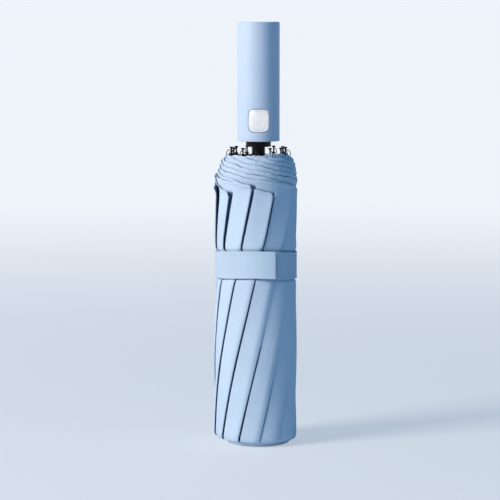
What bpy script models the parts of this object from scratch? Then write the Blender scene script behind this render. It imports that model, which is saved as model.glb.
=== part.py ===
"""A three-fold automatic umbrella, folded and strapped, standing on its crown cap with the grip up.

Metres, +Z up. The origin is the centre of the crown cap's underside, and the push button faces -Y.
The widest of the three shaft tubes stands in the crown, and the thinnest is held in the grip.
Each of the twelve ribs folds in three: a main rib goes up from the crown, a middle rib comes back
down outside it, and an end rib goes up again to a tip beside the neck. A stretcher joins the
runner to each main rib. Every folding link has its origin on its own hinge.
"""

import math

import bmesh
import bpy
from mathutils import Vector

# Gaps
GAP = 0.0003  # between pieces that touch on the real umbrella
SIDE_GAP = 0.0004  # between the flat sides of two links of one rib
PIN_GAP = 0.00035  # round a hinge pin in its eye
OVERRUN = 0.001  # how far a cutter runs past what it cuts

# Crown cap and crown notch
CAP_RADIUS = 0.0230
CAP_HEIGHT = 0.0044
CAP_EDGE = 0.0024  # rounding of the rim on the underside
CAP_BEVEL = 0.0007
BOSS_REACH = 0.0060  # how far the cap's boss goes up into the shaft
NOTCH_LIFT = 0.0014
NOTCH_THICKNESS = 0.0090
NOTCH_HUB = 0.0034  # wall between the shaft and the slots
NOTCH_RIM = 0.0024  # how far the teeth reach beyond the rib wire

# Shaft
OUTER_TUBE_RADIUS = 0.0047
OUTER_TUBE_LENGTH = 0.2055
OUTER_TUBE_WALL = 0.0005
MIDDLE_TUBE_WALL = 0.0004
INNER_TUBE_WALL = 0.0005
SPRING_WIRE_RADIUS = 0.00035
SPRING_LOOPS = 12
SPRING_POINTS_PER_LOOP = 8

# Grip, its core and the push button
GRIP_RADIUS = 0.0150
GRIP_LENGTH = 0.0840
GRIP_WALL = 0.0016
GRIP_ROOF = 0.0022
GRIP_EDGE = 0.0009
NECK_RADIUS = 0.0089
NECK_LENGTH = 0.0040  # the part of the core that shows under the grip
CORE_FLOOR = 0.0030
CORE_STEM_RADIUS = 0.0062
CORE_GUIDE_LIFT = 0.0300  # from the grip's foot to the upper guide disc
CORE_GUIDE = 0.0030
CORE_SOCKET_DEPTH = 0.0640  # how far the inner tube goes into the core, from the grip's foot
CORE_SOCKET_ROOF = 0.0030
BUTTON_WIDTH = 0.0139
BUTTON_HEIGHT = 0.0160
BUTTON_CORNER = 0.0040
BUTTON_LIFT = 0.0146  # from the grip's foot to the button's middle
BUTTON_PROUD = 0.0003
BUTTON_COLLAR = 0.0009  # how far the hidden collar is wider than the cap, all round
BUTTON_COLLAR_FRONT = 0.0106  # from the shaft's axis
BUTTON_COLLAR_THICKNESS = 0.0010
BUTTON_STEM_RADIUS = 0.0025
BUTTON_STEM_END = 0.0058  # from the shaft's axis
BUTTON_STEM_PLAY = 0.0004

# Runner
RUNNER_DROP = 0.0147  # from the shaft's top to the runner's top
RUNNER_COLLAR = 0.0030
RUNNER_FLANGE = 0.0080
RUNNER_SLEEVE = 0.0200
RUNNER_PLAY = 0.0003
RUNNER_WALL = 0.0016
RUNNER_FLOOR = 0.0002  # how far the slots' floors stand outside the sleeve
RUNNER_RIM = 0.0014  # how far the teeth reach beyond the stretcher wire

# Ribs: widths lie across the rib's plane, depths in it
RIB_COUNT = 12
RIB_START = math.radians(25)
MAIN_WIDTH = 0.0022
MAIN_DEPTH = 0.0024
MIDDLE_WIDTH = 0.0018
MIDDLE_DEPTH = 0.0022
END_WIDTH = 0.0018
END_DEPTH = 0.0019
STRETCHER_WIDTH = 0.0018
STRETCHER_DEPTH = 0.0020
STRETCHER_REACH = 0.0850  # along the main rib, from the crown hinge to the stretcher's rivet
CHANNEL_WIDTH = 0.0010
CHANNEL_DEPTH = 0.0015
CHANNEL_INSET = 0.0050
SLOT_PLAY = 0.00035
SLOT_FLOOR_PLAY = 0.0004
WIRE_RADIUS = 0.00045  # the rings on which the ribs and the stretchers turn
PIN_RADIUS = 0.00045
RIVET_RADIUS = 0.0008
RIVET_THICKNESS = 0.0004
KNEE_DROP = 0.0117  # from the shaft's top down to the knees
KNEE_STEP = 0.0026  # outwards, from the crown hinges to the knees
ELBOW_LIFT = 0.0020
ELBOW_STEP = 0.0036
TIP_STEP = 0.0030
TIP_LIFT = 0.0007
TIP_LENGTH = 0.0056
TIP_RADIUS = 0.0017
TIP_WAIST = 0.0009
TIP_FLANGE = 0.0012
TIP_SLOPE = 0.0007

# Folded cloth
CLOTH_FLOOR = 0.0012  # the cloth between the cap and the shaft
CLOTH_DROP = 0.0062  # from the shaft's top down to the top of the cloth
CLOTH_PLAY = 0.0009  # between the end ribs and the cloth
CLOTH_THICKNESS = 0.0083
CLOTH_FOOT_EDGE = 0.0012
HEM_PLAY = 0.0004
HEM_THICKNESS = 0.0019
SHOULDER_LENGTH = 0.0215
SHOULDER_SHARES = ((0.0, 1.0), (0.42, 0.84), (0.63, 0.67), (0.88, 0.43), (1.0, 0.0))
PLEAT_COUNT = 12
PLEAT_STEP = 0.0013
PLEAT_SHARES = ((0.0, 0.0), (0.5, 0.55), (0.93, 1.0), (1.0, 0.72))
PLEAT_EDGE_AT_STRAP = math.radians(276.6)
TWIST_BELOW_STRAP = math.radians(57.6)
TWIST_ABOVE_STRAP = math.radians(30.0)
STATION_COUNT_BELOW = 6
STATION_COUNT_ABOVE = 3

# Strap
STRAP_LIFT = 0.1158  # from the cloth's foot to the strap's lower edge
STRAP_WIDTH = 0.0200
STRAP_THICKNESS = 0.0008
STRAP_WAIST = 0.0009  # how deep the strap draws the cloth in
STRAP_MARGIN = 0.0010
STRAP_RAMP = 0.0040
TAB_END = math.radians(299.5)
TAB_LENGTH_ANGLE = math.radians(46.0)
TAB_RAMP_ANGLE = math.radians(14.0)

# Smoothness of round shapes
ROUND_STEPS = 48
TUBE_STEPS = 20
PIN_STEPS = 6
EYE_STEPS = 6
TIP_STEPS = 8
LINK_END_STEPS = 4
CORNER_STEPS = 3
WIRE_STEPS = 6
SHARP_ANGLE = math.radians(35)

# Heights, from the floor up
CLOTH_FOOT = CAP_HEIGHT + GAP
TUBE_FOOT = CLOTH_FOOT + CLOTH_FLOOR + GAP
BOSS_TOP = TUBE_FOOT + BOSS_REACH
TUBE_TOP = TUBE_FOOT + OUTER_TUBE_LENGTH
NECK_FOOT = TUBE_TOP + GAP
GRIP_FOOT = NECK_FOOT + NECK_LENGTH
GRIP_TOP = GRIP_FOOT + GRIP_LENGTH
CORE_FLOOR_FOOT = GRIP_FOOT + GAP
SOCKET_TOP = GRIP_FOOT + CORE_SOCKET_DEPTH
BUTTON_MIDDLE = GRIP_FOOT + BUTTON_LIFT
NOTCH_FOOT = TUBE_FOOT + NOTCH_LIFT
CROWN_HINGE_HEIGHT = NOTCH_FOOT + NOTCH_THICKNESS / 2
KNEE_HEIGHT = TUBE_TOP - KNEE_DROP
ELBOW_HEIGHT = CROWN_HINGE_HEIGHT + ELBOW_LIFT
RUNNER_TOP = TUBE_TOP - RUNNER_DROP
FLANGE_TOP = RUNNER_TOP - RUNNER_COLLAR
FLANGE_FOOT = FLANGE_TOP - RUNNER_FLANGE
RUNNER_FOOT = FLANGE_FOOT - RUNNER_SLEEVE
RUNNER_HINGE_HEIGHT = (FLANGE_TOP + FLANGE_FOOT) / 2
CLOTH_TOP = TUBE_TOP - CLOTH_DROP
TIP_FOOT = CLOTH_TOP + TIP_LIFT
TIP_MIDDLE = TIP_FOOT + TIP_LENGTH / 2
SHOULDER_FOOT = CLOTH_TOP - SHOULDER_LENGTH
STRAP_FOOT = CLOTH_FOOT + STRAP_LIFT
STRAP_TOP = STRAP_FOOT + STRAP_WIDTH
STRAP_MIDDLE = (STRAP_FOOT + STRAP_TOP) / 2

# Radii, from the shaft's axis out
OUTER_BORE = OUTER_TUBE_RADIUS - OUTER_TUBE_WALL
MIDDLE_TUBE_RADIUS = OUTER_BORE - GAP
MIDDLE_BORE = MIDDLE_TUBE_RADIUS - MIDDLE_TUBE_WALL
INNER_TUBE_RADIUS = MIDDLE_BORE - GAP
INNER_BORE = INNER_TUBE_RADIUS - INNER_TUBE_WALL
SPRING_RADIUS = INNER_BORE - GAP - SPRING_WIRE_RADIUS
BOSS_RADIUS = OUTER_BORE - GAP
GRIP_BORE = GRIP_RADIUS - GRIP_WALL
CORE_BORE = INNER_TUBE_RADIUS + GAP
NOTCH_SLOT_FLOOR = OUTER_TUBE_RADIUS + GAP + NOTCH_HUB
CROWN_HINGE_RADIUS = NOTCH_SLOT_FLOOR + SLOT_FLOOR_PLAY + MAIN_DEPTH / 2
NOTCH_RADIUS = CROWN_HINGE_RADIUS + NOTCH_RIM
RUNNER_BORE = OUTER_TUBE_RADIUS + RUNNER_PLAY
RUNNER_RADIUS = RUNNER_BORE + RUNNER_WALL
RUNNER_SLOT_FLOOR = RUNNER_RADIUS + RUNNER_FLOOR
RUNNER_HINGE_RADIUS = RUNNER_SLOT_FLOOR + SLOT_FLOOR_PLAY + STRETCHER_DEPTH / 2
FLANGE_RADIUS = RUNNER_HINGE_RADIUS + RUNNER_RIM
KNEE_RADIUS = CROWN_HINGE_RADIUS + KNEE_STEP
ELBOW_RADIUS = KNEE_RADIUS + ELBOW_STEP
TIP_RING_RADIUS = ELBOW_RADIUS + TIP_STEP
CLOTH_BORE = TIP_RING_RADIUS + END_DEPTH / 2 + CLOTH_PLAY
CLOTH_RADIUS = CLOTH_BORE + CLOTH_THICKNESS
HEM_BORE = TIP_RING_RADIUS + END_DEPTH / 2 + HEM_PLAY
HEM_RADIUS = HEM_BORE + HEM_THICKNESS
WAIST_RADIUS = CLOTH_RADIUS - STRAP_WAIST
STRAP_BORE = WAIST_RADIUS + GAP
STRAP_RADIUS = STRAP_BORE + STRAP_THICKNESS

# Places across a rib's plane: the main and end ribs lie in one layer, the other links beside it
SIDE_LAYER = MAIN_WIDTH / 2 + SIDE_GAP
MIDDLE_SIDE = SIDE_LAYER + MIDDLE_WIDTH
STRETCHER_SIDE = SIDE_LAYER + STRETCHER_WIDTH
EYE_RADIUS = PIN_RADIUS + PIN_GAP

CROWN_HINGE = Vector((CROWN_HINGE_RADIUS, CROWN_HINGE_HEIGHT))
KNEE = Vector((KNEE_RADIUS, KNEE_HEIGHT))
ELBOW = Vector((ELBOW_RADIUS, ELBOW_HEIGHT))
TIP = Vector((TIP_RING_RADIUS, TIP_MIDDLE))
RUNNER_HINGE = Vector((RUNNER_HINGE_RADIUS, RUNNER_HINGE_HEIGHT))
STRETCHER_RIVET = CROWN_HINGE + (KNEE - CROWN_HINGE).normalized() * STRETCHER_REACH


# Shared shapes
def clear_scene():
    for thing in list(bpy.data.objects):
        bpy.data.objects.remove(thing, do_unlink=True)


def material(name, colour, roughness, metallic=0.0):
    made = bpy.data.materials.new(name)
    made.use_nodes = True
    shader = made.node_tree.nodes["Principled BSDF"]
    shader.inputs["Base Color"].default_value = (*colour, 1.0)
    shader.inputs["Roughness"].default_value = roughness
    shader.inputs["Metallic"].default_value = metallic
    return made


def mesh_from(points, faces):
    """A closed mesh from its corners and faces, with every face turned outwards."""
    made = bpy.data.meshes.new("shape")
    made.from_pydata([tuple(point) for point in points], [], faces)
    shape = bmesh.new()
    shape.from_mesh(made)
    bmesh.ops.recalc_face_normals(shape, faces=shape.faces)
    shape.to_mesh(made)
    shape.free()
    return made


def tiered(rings, closed=False, shift=0):
    """Skins a stack of equal rings of points. A closed stack joins its last ring to its first."""
    count = len(rings[0])
    points = [point for ring in rings for point in ring]
    faces = []
    for tier in range(len(rings) - 1):
        low = tier * count
        high = low + count
        for place in range(count):
            after = (place + 1) % count
            faces.append((low + place, low + after, high + after, high + place))
    last = (len(rings) - 1) * count
    if closed:
        for place in range(count):
            after = (place + 1) % count
            start = (place + shift) % count
            beyond = (after + shift) % count
            faces.append((last + place, last + after, beyond, start))
    else:
        faces.append(tuple(range(count)))
        faces.append(tuple(range(last, last + count)))
    return mesh_from(points, faces)


def circle(radius, height, steps):
    return [
        Vector((radius * math.cos(turn), radius * math.sin(turn), height))
        for turn in (math.tau * step / steps for step in range(steps))
    ]


def turned(profile, steps):
    """A solid turned about Z from (radius, height) pairs that never touch the axis at both ends."""
    rings = [circle(radius, height, steps) for radius, height in profile]
    return tiered(rings)


def turned_ring(profile, steps):
    """A ring turned about Z from a closed outline of (radius, height) pairs."""
    rings = [circle(radius, height, steps) for radius, height in profile]
    return tiered(rings, closed=True)


def prism(outline, near, far):
    """A flat outline in the XZ plane, given thickness along Y."""
    rings = [[Vector((x, depth, z)) for x, z in outline] for depth in (near, far)]
    return tiered(rings)


def plate(outline, low, high):
    """A flat outline in the XY plane, given thickness along Z."""
    rings = [[Vector((x, y, height)) for x, y in outline] for height in (low, high)]
    return tiered(rings)


def rod(middle, radius, near, far, steps):
    """A round rod along Y, through a place in the XZ plane."""
    outline = [
        (middle[0] + radius * math.cos(turn), middle[1] + radius * math.sin(turn))
        for turn in (math.tau * step / steps for step in range(steps))
    ]
    return prism(outline, near, far)


def worked(base, tools, operation):
    """A mesh cut by, joined to or kept within other meshes."""
    body = bpy.data.objects.new("body", base)
    bpy.context.scene.collection.objects.link(body)
    helpers = []
    for tool in tools:
        helper = bpy.data.objects.new("tool", tool)
        bpy.context.scene.collection.objects.link(helper)
        helpers.append(helper)
        step = body.modifiers.new("step", "BOOLEAN")
        step.operation = operation
        step.object = helper
        step.solver = "EXACT"
    graph = bpy.context.evaluated_depsgraph_get()
    result = bpy.data.meshes.new_from_object(body.evaluated_get(graph))
    for used in [body, *helpers]:
        bpy.data.objects.remove(used, do_unlink=True)
    return result


def carved(base, *tools):
    return worked(base, tools, "DIFFERENCE")


def joined(base, *others):
    return worked(base, others, "UNION")


def place_object(name, mesh, finish, location=(0, 0, 0), azimuth=0.0, smooth=True):
    if smooth:
        mesh.shade_smooth()
        mesh.set_sharp_from_angle(angle=SHARP_ANGLE)
    if not mesh.materials:
        mesh.materials.append(finish)
    made = bpy.data.objects.new(name, mesh)
    made.location = location
    made.rotation_euler = (0, 0, azimuth)
    bpy.context.scene.collection.objects.link(made)
    return made


def rounded_rectangle(width, height, corner, middle_height):
    """Corner points of an upright rectangle with round corners, centred on X = 0."""
    outline = []
    for quarter, (side, level) in enumerate(((1, 1), (-1, 1), (-1, -1), (1, -1))):
        centre_x = side * (width / 2 - corner)
        centre_z = middle_height + level * (height / 2 - corner)
        for step in range(CORNER_STEPS + 1):
            turn = math.pi / 2 * (quarter + step / CORNER_STEPS)
            outline.append((centre_x + corner * math.cos(turn), centre_z + corner * math.sin(turn)))
    return outline


def wire_ring(corners, height, radius):
    """A closed wire through flat corners, mitred at each."""
    count = len(corners)
    rings = []
    for place in range(count):
        here = Vector(corners[place])
        arriving = (here - Vector(corners[place - 1])).normalized()
        leaving = (Vector(corners[(place + 1) % count]) - here).normalized()
        along = (arriving + leaving).normalized()
        across = Vector((along.y, -along.x)) / along.dot(leaving)
        ring = []
        for step in range(WIRE_STEPS):
            turn = math.tau * step / WIRE_STEPS
            flat = here + across * (radius * math.cos(turn))
            ring.append(Vector((flat.x, flat.y, height + radius * math.sin(turn))))
        rings.append(ring)
    return tiered(rings, closed=True)


def at_azimuth(x, y, azimuth):
    """A place given outwards along a rib and across it, in the whole umbrella's plan."""
    outwards = Vector((math.cos(azimuth), math.sin(azimuth)))
    across = Vector((-outwards.y, outwards.x))
    return outwards * x + across * y


def slotted_plate(radius, floor, near, far, low, high, bore):
    """A disc with one open slot for each rib, lying from near to far across the rib's plane."""
    mouth_near = math.sqrt(radius**2 - near**2)
    mouth_far = math.sqrt(radius**2 - far**2)
    start = math.atan2(far, mouth_far)
    end = math.tau / RIB_COUNT + math.atan2(near, mouth_near)
    outline = []
    for rib in range(RIB_COUNT):
        azimuth = rib_azimuth(rib)
        slot = ((mouth_near, near), (floor, near), (floor, far), (mouth_far, far))
        outline += [at_azimuth(x, y, azimuth) for x, y in slot]
        outline.append(at_azimuth(radius, 0, azimuth + (start + end) / 2))
    disc = plate(outline, low, high)
    shaft_hole = turned(((bore, low - OVERRUN), (bore, high + OVERRUN)), TUBE_STEPS)
    return carved(disc, shaft_hole)


# Crown
def rib_azimuth(rib):
    return RIB_START + math.tau * rib / RIB_COUNT


def make_crown_cap(finish):
    profile = [(CAP_RADIUS - CAP_EDGE, 0)]
    for step in range(1, CORNER_STEPS + 1):
        turn = math.pi / 2 * step / CORNER_STEPS
        radius = CAP_RADIUS - CAP_EDGE + CAP_EDGE * math.sin(turn)
        profile.append((radius, CAP_EDGE - CAP_EDGE * math.cos(turn)))
    profile.append((CAP_RADIUS, CAP_HEIGHT - CAP_BEVEL))
    profile.append((CAP_RADIUS - CAP_BEVEL, CAP_HEIGHT))
    profile.append((BOSS_RADIUS, CAP_HEIGHT))
    profile.append((BOSS_RADIUS, BOSS_TOP))
    place_object("crown_cap", turned(profile, ROUND_STEPS), finish)


def make_crown_notch(finish):
    half = MAIN_WIDTH / 2 + SLOT_PLAY
    top = NOTCH_FOOT + NOTCH_THICKNESS
    bore = OUTER_TUBE_RADIUS + GAP
    hub = slotted_plate(NOTCH_RADIUS, NOTCH_SLOT_FLOOR, -half, half, NOTCH_FOOT, top, bore)
    reach = CROWN_HINGE_RADIUS / math.cos(math.pi / RIB_COUNT)
    corners = [
        at_azimuth(reach, 0, rib_azimuth(rib) + math.pi / RIB_COUNT) for rib in range(RIB_COUNT)
    ]
    wire = wire_ring(corners, CROWN_HINGE_HEIGHT, WIRE_RADIUS)
    place_object("crown_notch", joined(hub, wire), finish)


# Shaft
def tube(name, radius, wall, low, high, finish):
    profile = ((radius, low), (radius, high), (radius - wall, high), (radius - wall, low))
    place_object(name, turned_ring(profile, TUBE_STEPS), finish)


def make_shaft(finish):
    boss_clear = BOSS_TOP + GAP
    tube("outer_tube", OUTER_TUBE_RADIUS, OUTER_TUBE_WALL, TUBE_FOOT, TUBE_TOP, finish)
    tube("middle_tube", MIDDLE_TUBE_RADIUS, MIDDLE_TUBE_WALL, boss_clear, TUBE_TOP, finish)
    tube("inner_tube", INNER_TUBE_RADIUS, INNER_TUBE_WALL, boss_clear, SOCKET_TOP - GAP, finish)


def make_opening_spring(finish):
    """One long coil inside the tubes, standing on the cap's boss and pushing on the core."""
    low = BOSS_TOP + GAP + SPRING_WIRE_RADIUS
    high = SOCKET_TOP - GAP - SPRING_WIRE_RADIUS
    count = SPRING_LOOPS * SPRING_POINTS_PER_LOOP
    coil = bpy.data.curves.new("opening_spring", "CURVE")
    coil.dimensions = "3D"
    coil.bevel_depth = SPRING_WIRE_RADIUS
    coil.bevel_resolution = 1
    coil.use_fill_caps = True
    line = coil.splines.new("POLY")
    line.points.add(count)
    places = []
    for step in range(count + 1):
        turn = math.tau * step / SPRING_POINTS_PER_LOOP
        height = low + (high - low) * step / count
        places.append(Vector((SPRING_RADIUS * math.cos(turn), SPRING_RADIUS * math.sin(turn), height)))
    for point, place in zip(line.points, places):
        point.co = (*place, 1)
    apart = min(
        (places[step + SPRING_POINTS_PER_LOOP] - places[step]).length
        for step in range(count - SPRING_POINTS_PER_LOOP)
    )
    print(f"opening_spring: least gap between loops {(apart - 2 * SPRING_WIRE_RADIUS) * 1000:.2f} mm")
    coil.materials.append(finish)
    made = bpy.data.objects.new("opening_spring", coil)
    bpy.context.scene.collection.objects.link(made)


# Grip, core and button
def make_grip(finish):
    edge = []
    for step in range(CORNER_STEPS + 1):
        turn = math.pi / 2 * step / CORNER_STEPS
        radius = GRIP_RADIUS - GRIP_EDGE + GRIP_EDGE * math.cos(turn)
        edge.append((radius, GRIP_TOP - GRIP_EDGE + GRIP_EDGE * math.sin(turn)))
    outside = turned([(GRIP_RADIUS, GRIP_FOOT), *edge], ROUND_STEPS)
    inside = turned(
        ((GRIP_BORE, GRIP_FOOT - OVERRUN), (GRIP_BORE, GRIP_TOP - GRIP_ROOF)), ROUND_STEPS
    )
    window = prism(
        rounded_rectangle(
            BUTTON_WIDTH + 2 * GAP, BUTTON_HEIGHT + 2 * GAP, BUTTON_CORNER + GAP, BUTTON_MIDDLE
        ),
        -GRIP_RADIUS - OVERRUN,
        0,
    )
    place_object("handle_grip", carved(outside, inside, window), finish)


def make_core(finish):
    """The black moulding that holds the inner tube in the grip and guides the button."""
    disc = GRIP_BORE - GAP
    floor_top = CORE_FLOOR_FOOT + CORE_FLOOR
    guide_foot = GRIP_FOOT + CORE_GUIDE_LIFT
    guide_top = guide_foot + CORE_GUIDE
    outline = (
        (NECK_RADIUS, NECK_FOOT),
        (NECK_RADIUS, CORE_FLOOR_FOOT),
        (disc, CORE_FLOOR_FOOT),
        (disc, floor_top),
        (CORE_STEM_RADIUS, floor_top),
        (CORE_STEM_RADIUS, guide_foot),
        (disc, guide_foot),
        (disc, guide_top),
        (CORE_STEM_RADIUS, guide_top),
        (CORE_STEM_RADIUS, SOCKET_TOP + CORE_SOCKET_ROOF),
    )
    body = turned(outline, ROUND_STEPS)
    socket = turned(((CORE_BORE, NECK_FOOT - OVERRUN), (CORE_BORE, SOCKET_TOP)), TUBE_STEPS)
    stem_hole = rod(
        (0, BUTTON_MIDDLE),
        BUTTON_STEM_RADIUS + BUTTON_STEM_PLAY,
        -CORE_STEM_RADIUS - OVERRUN,
        0,
        TUBE_STEPS,
    )
    place_object("handle_core", carved(body, socket, stem_hole), finish)


def make_button(finish):
    """The cap follows the grip's curve. Behind it a collar keeps it in and a stem trips the lock."""
    back = BUTTON_COLLAR_FRONT - BUTTON_COLLAR_THICKNESS
    face = rounded_rectangle(BUTTON_WIDTH, BUTTON_HEIGHT, BUTTON_CORNER, BUTTON_MIDDLE)
    block = prism(face, -GRIP_RADIUS - OVERRUN, -back)
    curve_radius = GRIP_RADIUS + BUTTON_PROUD
    curve = turned(((curve_radius, GRIP_FOOT), (curve_radius, GRIP_TOP)), ROUND_STEPS)
    cap = worked(block, [curve], "INTERSECT")
    collar_outline = rounded_rectangle(
        BUTTON_WIDTH + 2 * BUTTON_COLLAR,
        BUTTON_HEIGHT + 2 * BUTTON_COLLAR,
        BUTTON_CORNER + BUTTON_COLLAR,
        BUTTON_MIDDLE,
    )
    collar = prism(collar_outline, -BUTTON_COLLAR_FRONT, -back)
    stem = rod(
        (0, BUTTON_MIDDLE), BUTTON_STEM_RADIUS, -BUTTON_COLLAR_FRONT, -BUTTON_STEM_END, TUBE_STEPS
    )
    place_object("push_button", joined(cap, collar, stem), finish)


# Runner
def make_runner(finish):
    near = SIDE_LAYER - SLOT_PLAY
    far = STRETCHER_SIDE + SLOT_PLAY
    flange = slotted_plate(
        FLANGE_RADIUS, RUNNER_SLOT_FLOOR, near, far, FLANGE_FOOT, FLANGE_TOP, RUNNER_BORE
    )
    sleeve = turned_ring(
        (
            (RUNNER_RADIUS, RUNNER_FOOT),
            (RUNNER_RADIUS, RUNNER_TOP),
            (RUNNER_BORE, RUNNER_TOP),
            (RUNNER_BORE, RUNNER_FOOT),
        ),
        TUBE_STEPS,
    )
    corners = []
    for rib in range(RIB_COUNT):
        azimuth = rib_azimuth(rib)
        corners.append(at_azimuth(RUNNER_HINGE_RADIUS, near - SLOT_PLAY, azimuth))
        corners.append(at_azimuth(RUNNER_HINGE_RADIUS, far + SLOT_PLAY, azimuth))
    wire = wire_ring(corners, RUNNER_HINGE_HEIGHT, WIRE_RADIUS)
    place_object("runner", joined(sleeve, flange, wire), finish)


# Ribs: each mesh has its own hinge at its origin, X outwards and Y across the rib's plane
def along(reach, distance, offset):
    """A place beside a link: so far along it, and so far outwards from its middle line."""
    line = reach.normalized()
    outwards = Vector((abs(line.y), -line.x if line.y > 0 else line.x))
    return line * distance + outwards * offset


def link_outline(reach, depth):
    """The side view of a straight link, round at both ends."""
    heading = math.atan2(reach.y, reach.x)
    outline = []
    for middle, begin in ((Vector((0, 0)), math.pi / 2), (reach, -math.pi / 2)):
        for step in range(LINK_END_STEPS + 1):
            turn = heading + begin + math.pi * step / LINK_END_STEPS
            outline.append((middle.x + depth / 2 * math.cos(turn), middle.y + depth / 2 * math.sin(turn)))
    return outline


def channel(reach, depth, near, far, side):
    """The groove that makes a link a channel, open to one side in the rib's plane."""
    middle = (near + far) / 2
    low = CHANNEL_INSET
    high = reach.length - CHANNEL_INSET
    mouth = side * (depth / 2 + OVERRUN)
    floor = side * (depth / 2 - CHANNEL_DEPTH)
    corners = ((low, mouth), (high, mouth), (high, floor), (low, floor))
    outline = [along(reach, distance, offset) for distance, offset in corners]
    return prism(outline, middle - CHANNEL_WIDTH / 2, middle + CHANNEL_WIDTH / 2)


def eye(middle, near, far):
    return rod(middle, EYE_RADIUS, near - OVERRUN, far + OVERRUN, EYE_STEPS)


def pin(middle, start, end, head_start):
    """A hinge pin from inside its own link through the next one, with a head beyond it."""
    side = 1 if end > start else -1
    shank = rod(middle, PIN_RADIUS, *sorted((start, end)), PIN_STEPS)
    head_end = head_start + side * RIVET_THICKNESS
    head = rod(middle, RIVET_RADIUS, *sorted((head_start, head_end)), PIN_STEPS)
    return shank, head


def main_rib_mesh():
    reach = KNEE - CROWN_HINGE
    near, far = -MAIN_WIDTH / 2, MAIN_WIDTH / 2
    bar = prism(link_outline(reach, MAIN_DEPTH), near, far)
    bar = carved(bar, channel(reach, MAIN_DEPTH, near, far, -1), eye((0, 0), near, far))
    head = MIDDLE_SIDE + GAP
    return joined(bar, *pin(reach, 0, head + RIVET_THICKNESS / 2, head))


def middle_rib_mesh():
    reach = ELBOW - KNEE
    near, far = SIDE_LAYER, MIDDLE_SIDE
    bar = prism(link_outline(reach, MIDDLE_DEPTH), near, far)
    bar = carved(bar, channel(reach, MIDDLE_DEPTH, near, far, 1), eye((0, 0), near, far))
    head = -END_WIDTH / 2 - GAP
    return joined(bar, *pin(reach, (near + far) / 2, head - RIVET_THICKNESS / 2, head))


def end_rib_mesh():
    reach = TIP - ELBOW
    near, far = -END_WIDTH / 2, END_WIDTH / 2
    bar = prism(link_outline(reach, END_DEPTH), near, far)
    bar = carved(bar, eye((0, 0), near, far))
    low = reach.y - TIP_LENGTH / 2
    high = reach.y + TIP_LENGTH / 2
    profile = (
        (TIP_RADIUS, low),
        (TIP_RADIUS, low + TIP_FLANGE),
        (TIP_WAIST, low + TIP_FLANGE + TIP_SLOPE),
        (TIP_WAIST, high - TIP_FLANGE - TIP_SLOPE),
        (TIP_RADIUS, high - TIP_FLANGE),
        (TIP_RADIUS, high),
    )
    spool = turned(profile, TIP_STEPS)
    for corner in spool.vertices:
        corner.co.x += reach.x
    return joined(bar, spool)


def stretcher_mesh():
    reach = STRETCHER_RIVET - RUNNER_HINGE
    near, far = SIDE_LAYER, STRETCHER_SIDE
    bar = prism(link_outline(reach, STRETCHER_DEPTH), near, far)
    bar = carved(bar, eye((0, 0), near, far))
    rivet = rod(reach, RIVET_RADIUS, (near + far) / 2, far + RIVET_THICKNESS, PIN_STEPS)
    return joined(bar, rivet)


def make_ribs(finish):
    kinds = (
        ("main_rib", main_rib_mesh(), CROWN_HINGE),
        ("middle_rib", middle_rib_mesh(), KNEE),
        ("end_rib", end_rib_mesh(), ELBOW),
        ("stretcher", stretcher_mesh(), RUNNER_HINGE),
    )
    for name, mesh, hinge in kinds:
        for rib in range(RIB_COUNT):
            azimuth = rib_azimuth(rib)
            flat = at_azimuth(hinge.x, 0, azimuth)
            location = (flat.x, flat.y, hinge.y)
            place_object(f"{name}_{rib + 1:02d}", mesh, finish, location, azimuth, smooth=False)


# Folded cloth
def twist(height):
    """The azimuth of one pleat's free edge at a height. The pleats climb towards +X at the front."""
    if height < STRAP_MIDDLE:
        share = (STRAP_MIDDLE - height) / (STRAP_MIDDLE - CLOTH_FOOT)
        return PLEAT_EDGE_AT_STRAP - TWIST_BELOW_STRAP * share
    share = (height - STRAP_MIDDLE) / (CLOTH_TOP - STRAP_MIDDLE)
    return PLEAT_EDGE_AT_STRAP + TWIST_ABOVE_STRAP * share


def pleated_ring(height, radius):
    """Twelve pleats round the bundle, each rising to a free edge that lies over the next."""
    ring = []
    for pleat in range(PLEAT_COUNT):
        for around, rise in PLEAT_SHARES:
            azimuth = twist(height) + math.tau * (pleat - 1 + around) / PLEAT_COUNT
            reach = radius - PLEAT_STEP * (1 - rise)
            ring.append(Vector((reach * math.cos(azimuth), reach * math.sin(azimuth), height)))
    return ring


def plain_ring(height, radius, azimuth):
    count = PLEAT_COUNT * len(PLEAT_SHARES)
    ring = []
    for place in range(count):
        turn = azimuth + math.tau * (place / count - 1 / PLEAT_COUNT)
        ring.append(Vector((radius * math.cos(turn), radius * math.sin(turn), height)))
    return ring


def evenly(low, high, count):
    """Heights strictly between two heights, evenly spaced."""
    return [low + (high - low) * step / (count + 1) for step in range(1, count + 1)]


def bundle_outline():
    """Heights and radii of the bundle's outside, from its foot to its top."""
    waist_foot = STRAP_FOOT - STRAP_MARGIN
    waist_top = STRAP_TOP + STRAP_MARGIN
    lower_full = waist_foot - STRAP_RAMP
    upper_full = waist_top + STRAP_RAMP
    foot = CLOTH_FOOT + CLOTH_FOOT_EDGE
    outline = [(CLOTH_FOOT, CLOTH_RADIUS - CLOTH_FOOT_EDGE), (foot, CLOTH_RADIUS)]
    outline += [(height, CLOTH_RADIUS) for height in evenly(foot, lower_full, STATION_COUNT_BELOW)]
    outline += [(lower_full, CLOTH_RADIUS), (waist_foot, WAIST_RADIUS)]
    outline += [(waist_top, WAIST_RADIUS), (upper_full, CLOTH_RADIUS)]
    outline += [
        (height, CLOTH_RADIUS) for height in evenly(upper_full, SHOULDER_FOOT, STATION_COUNT_ABOVE)
    ]
    for up, out in SHOULDER_SHARES:
        radius = HEM_RADIUS + (CLOTH_RADIUS - HEM_RADIUS) * out
        outline.append((SHOULDER_FOOT + SHOULDER_LENGTH * up, radius))
    return outline


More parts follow.
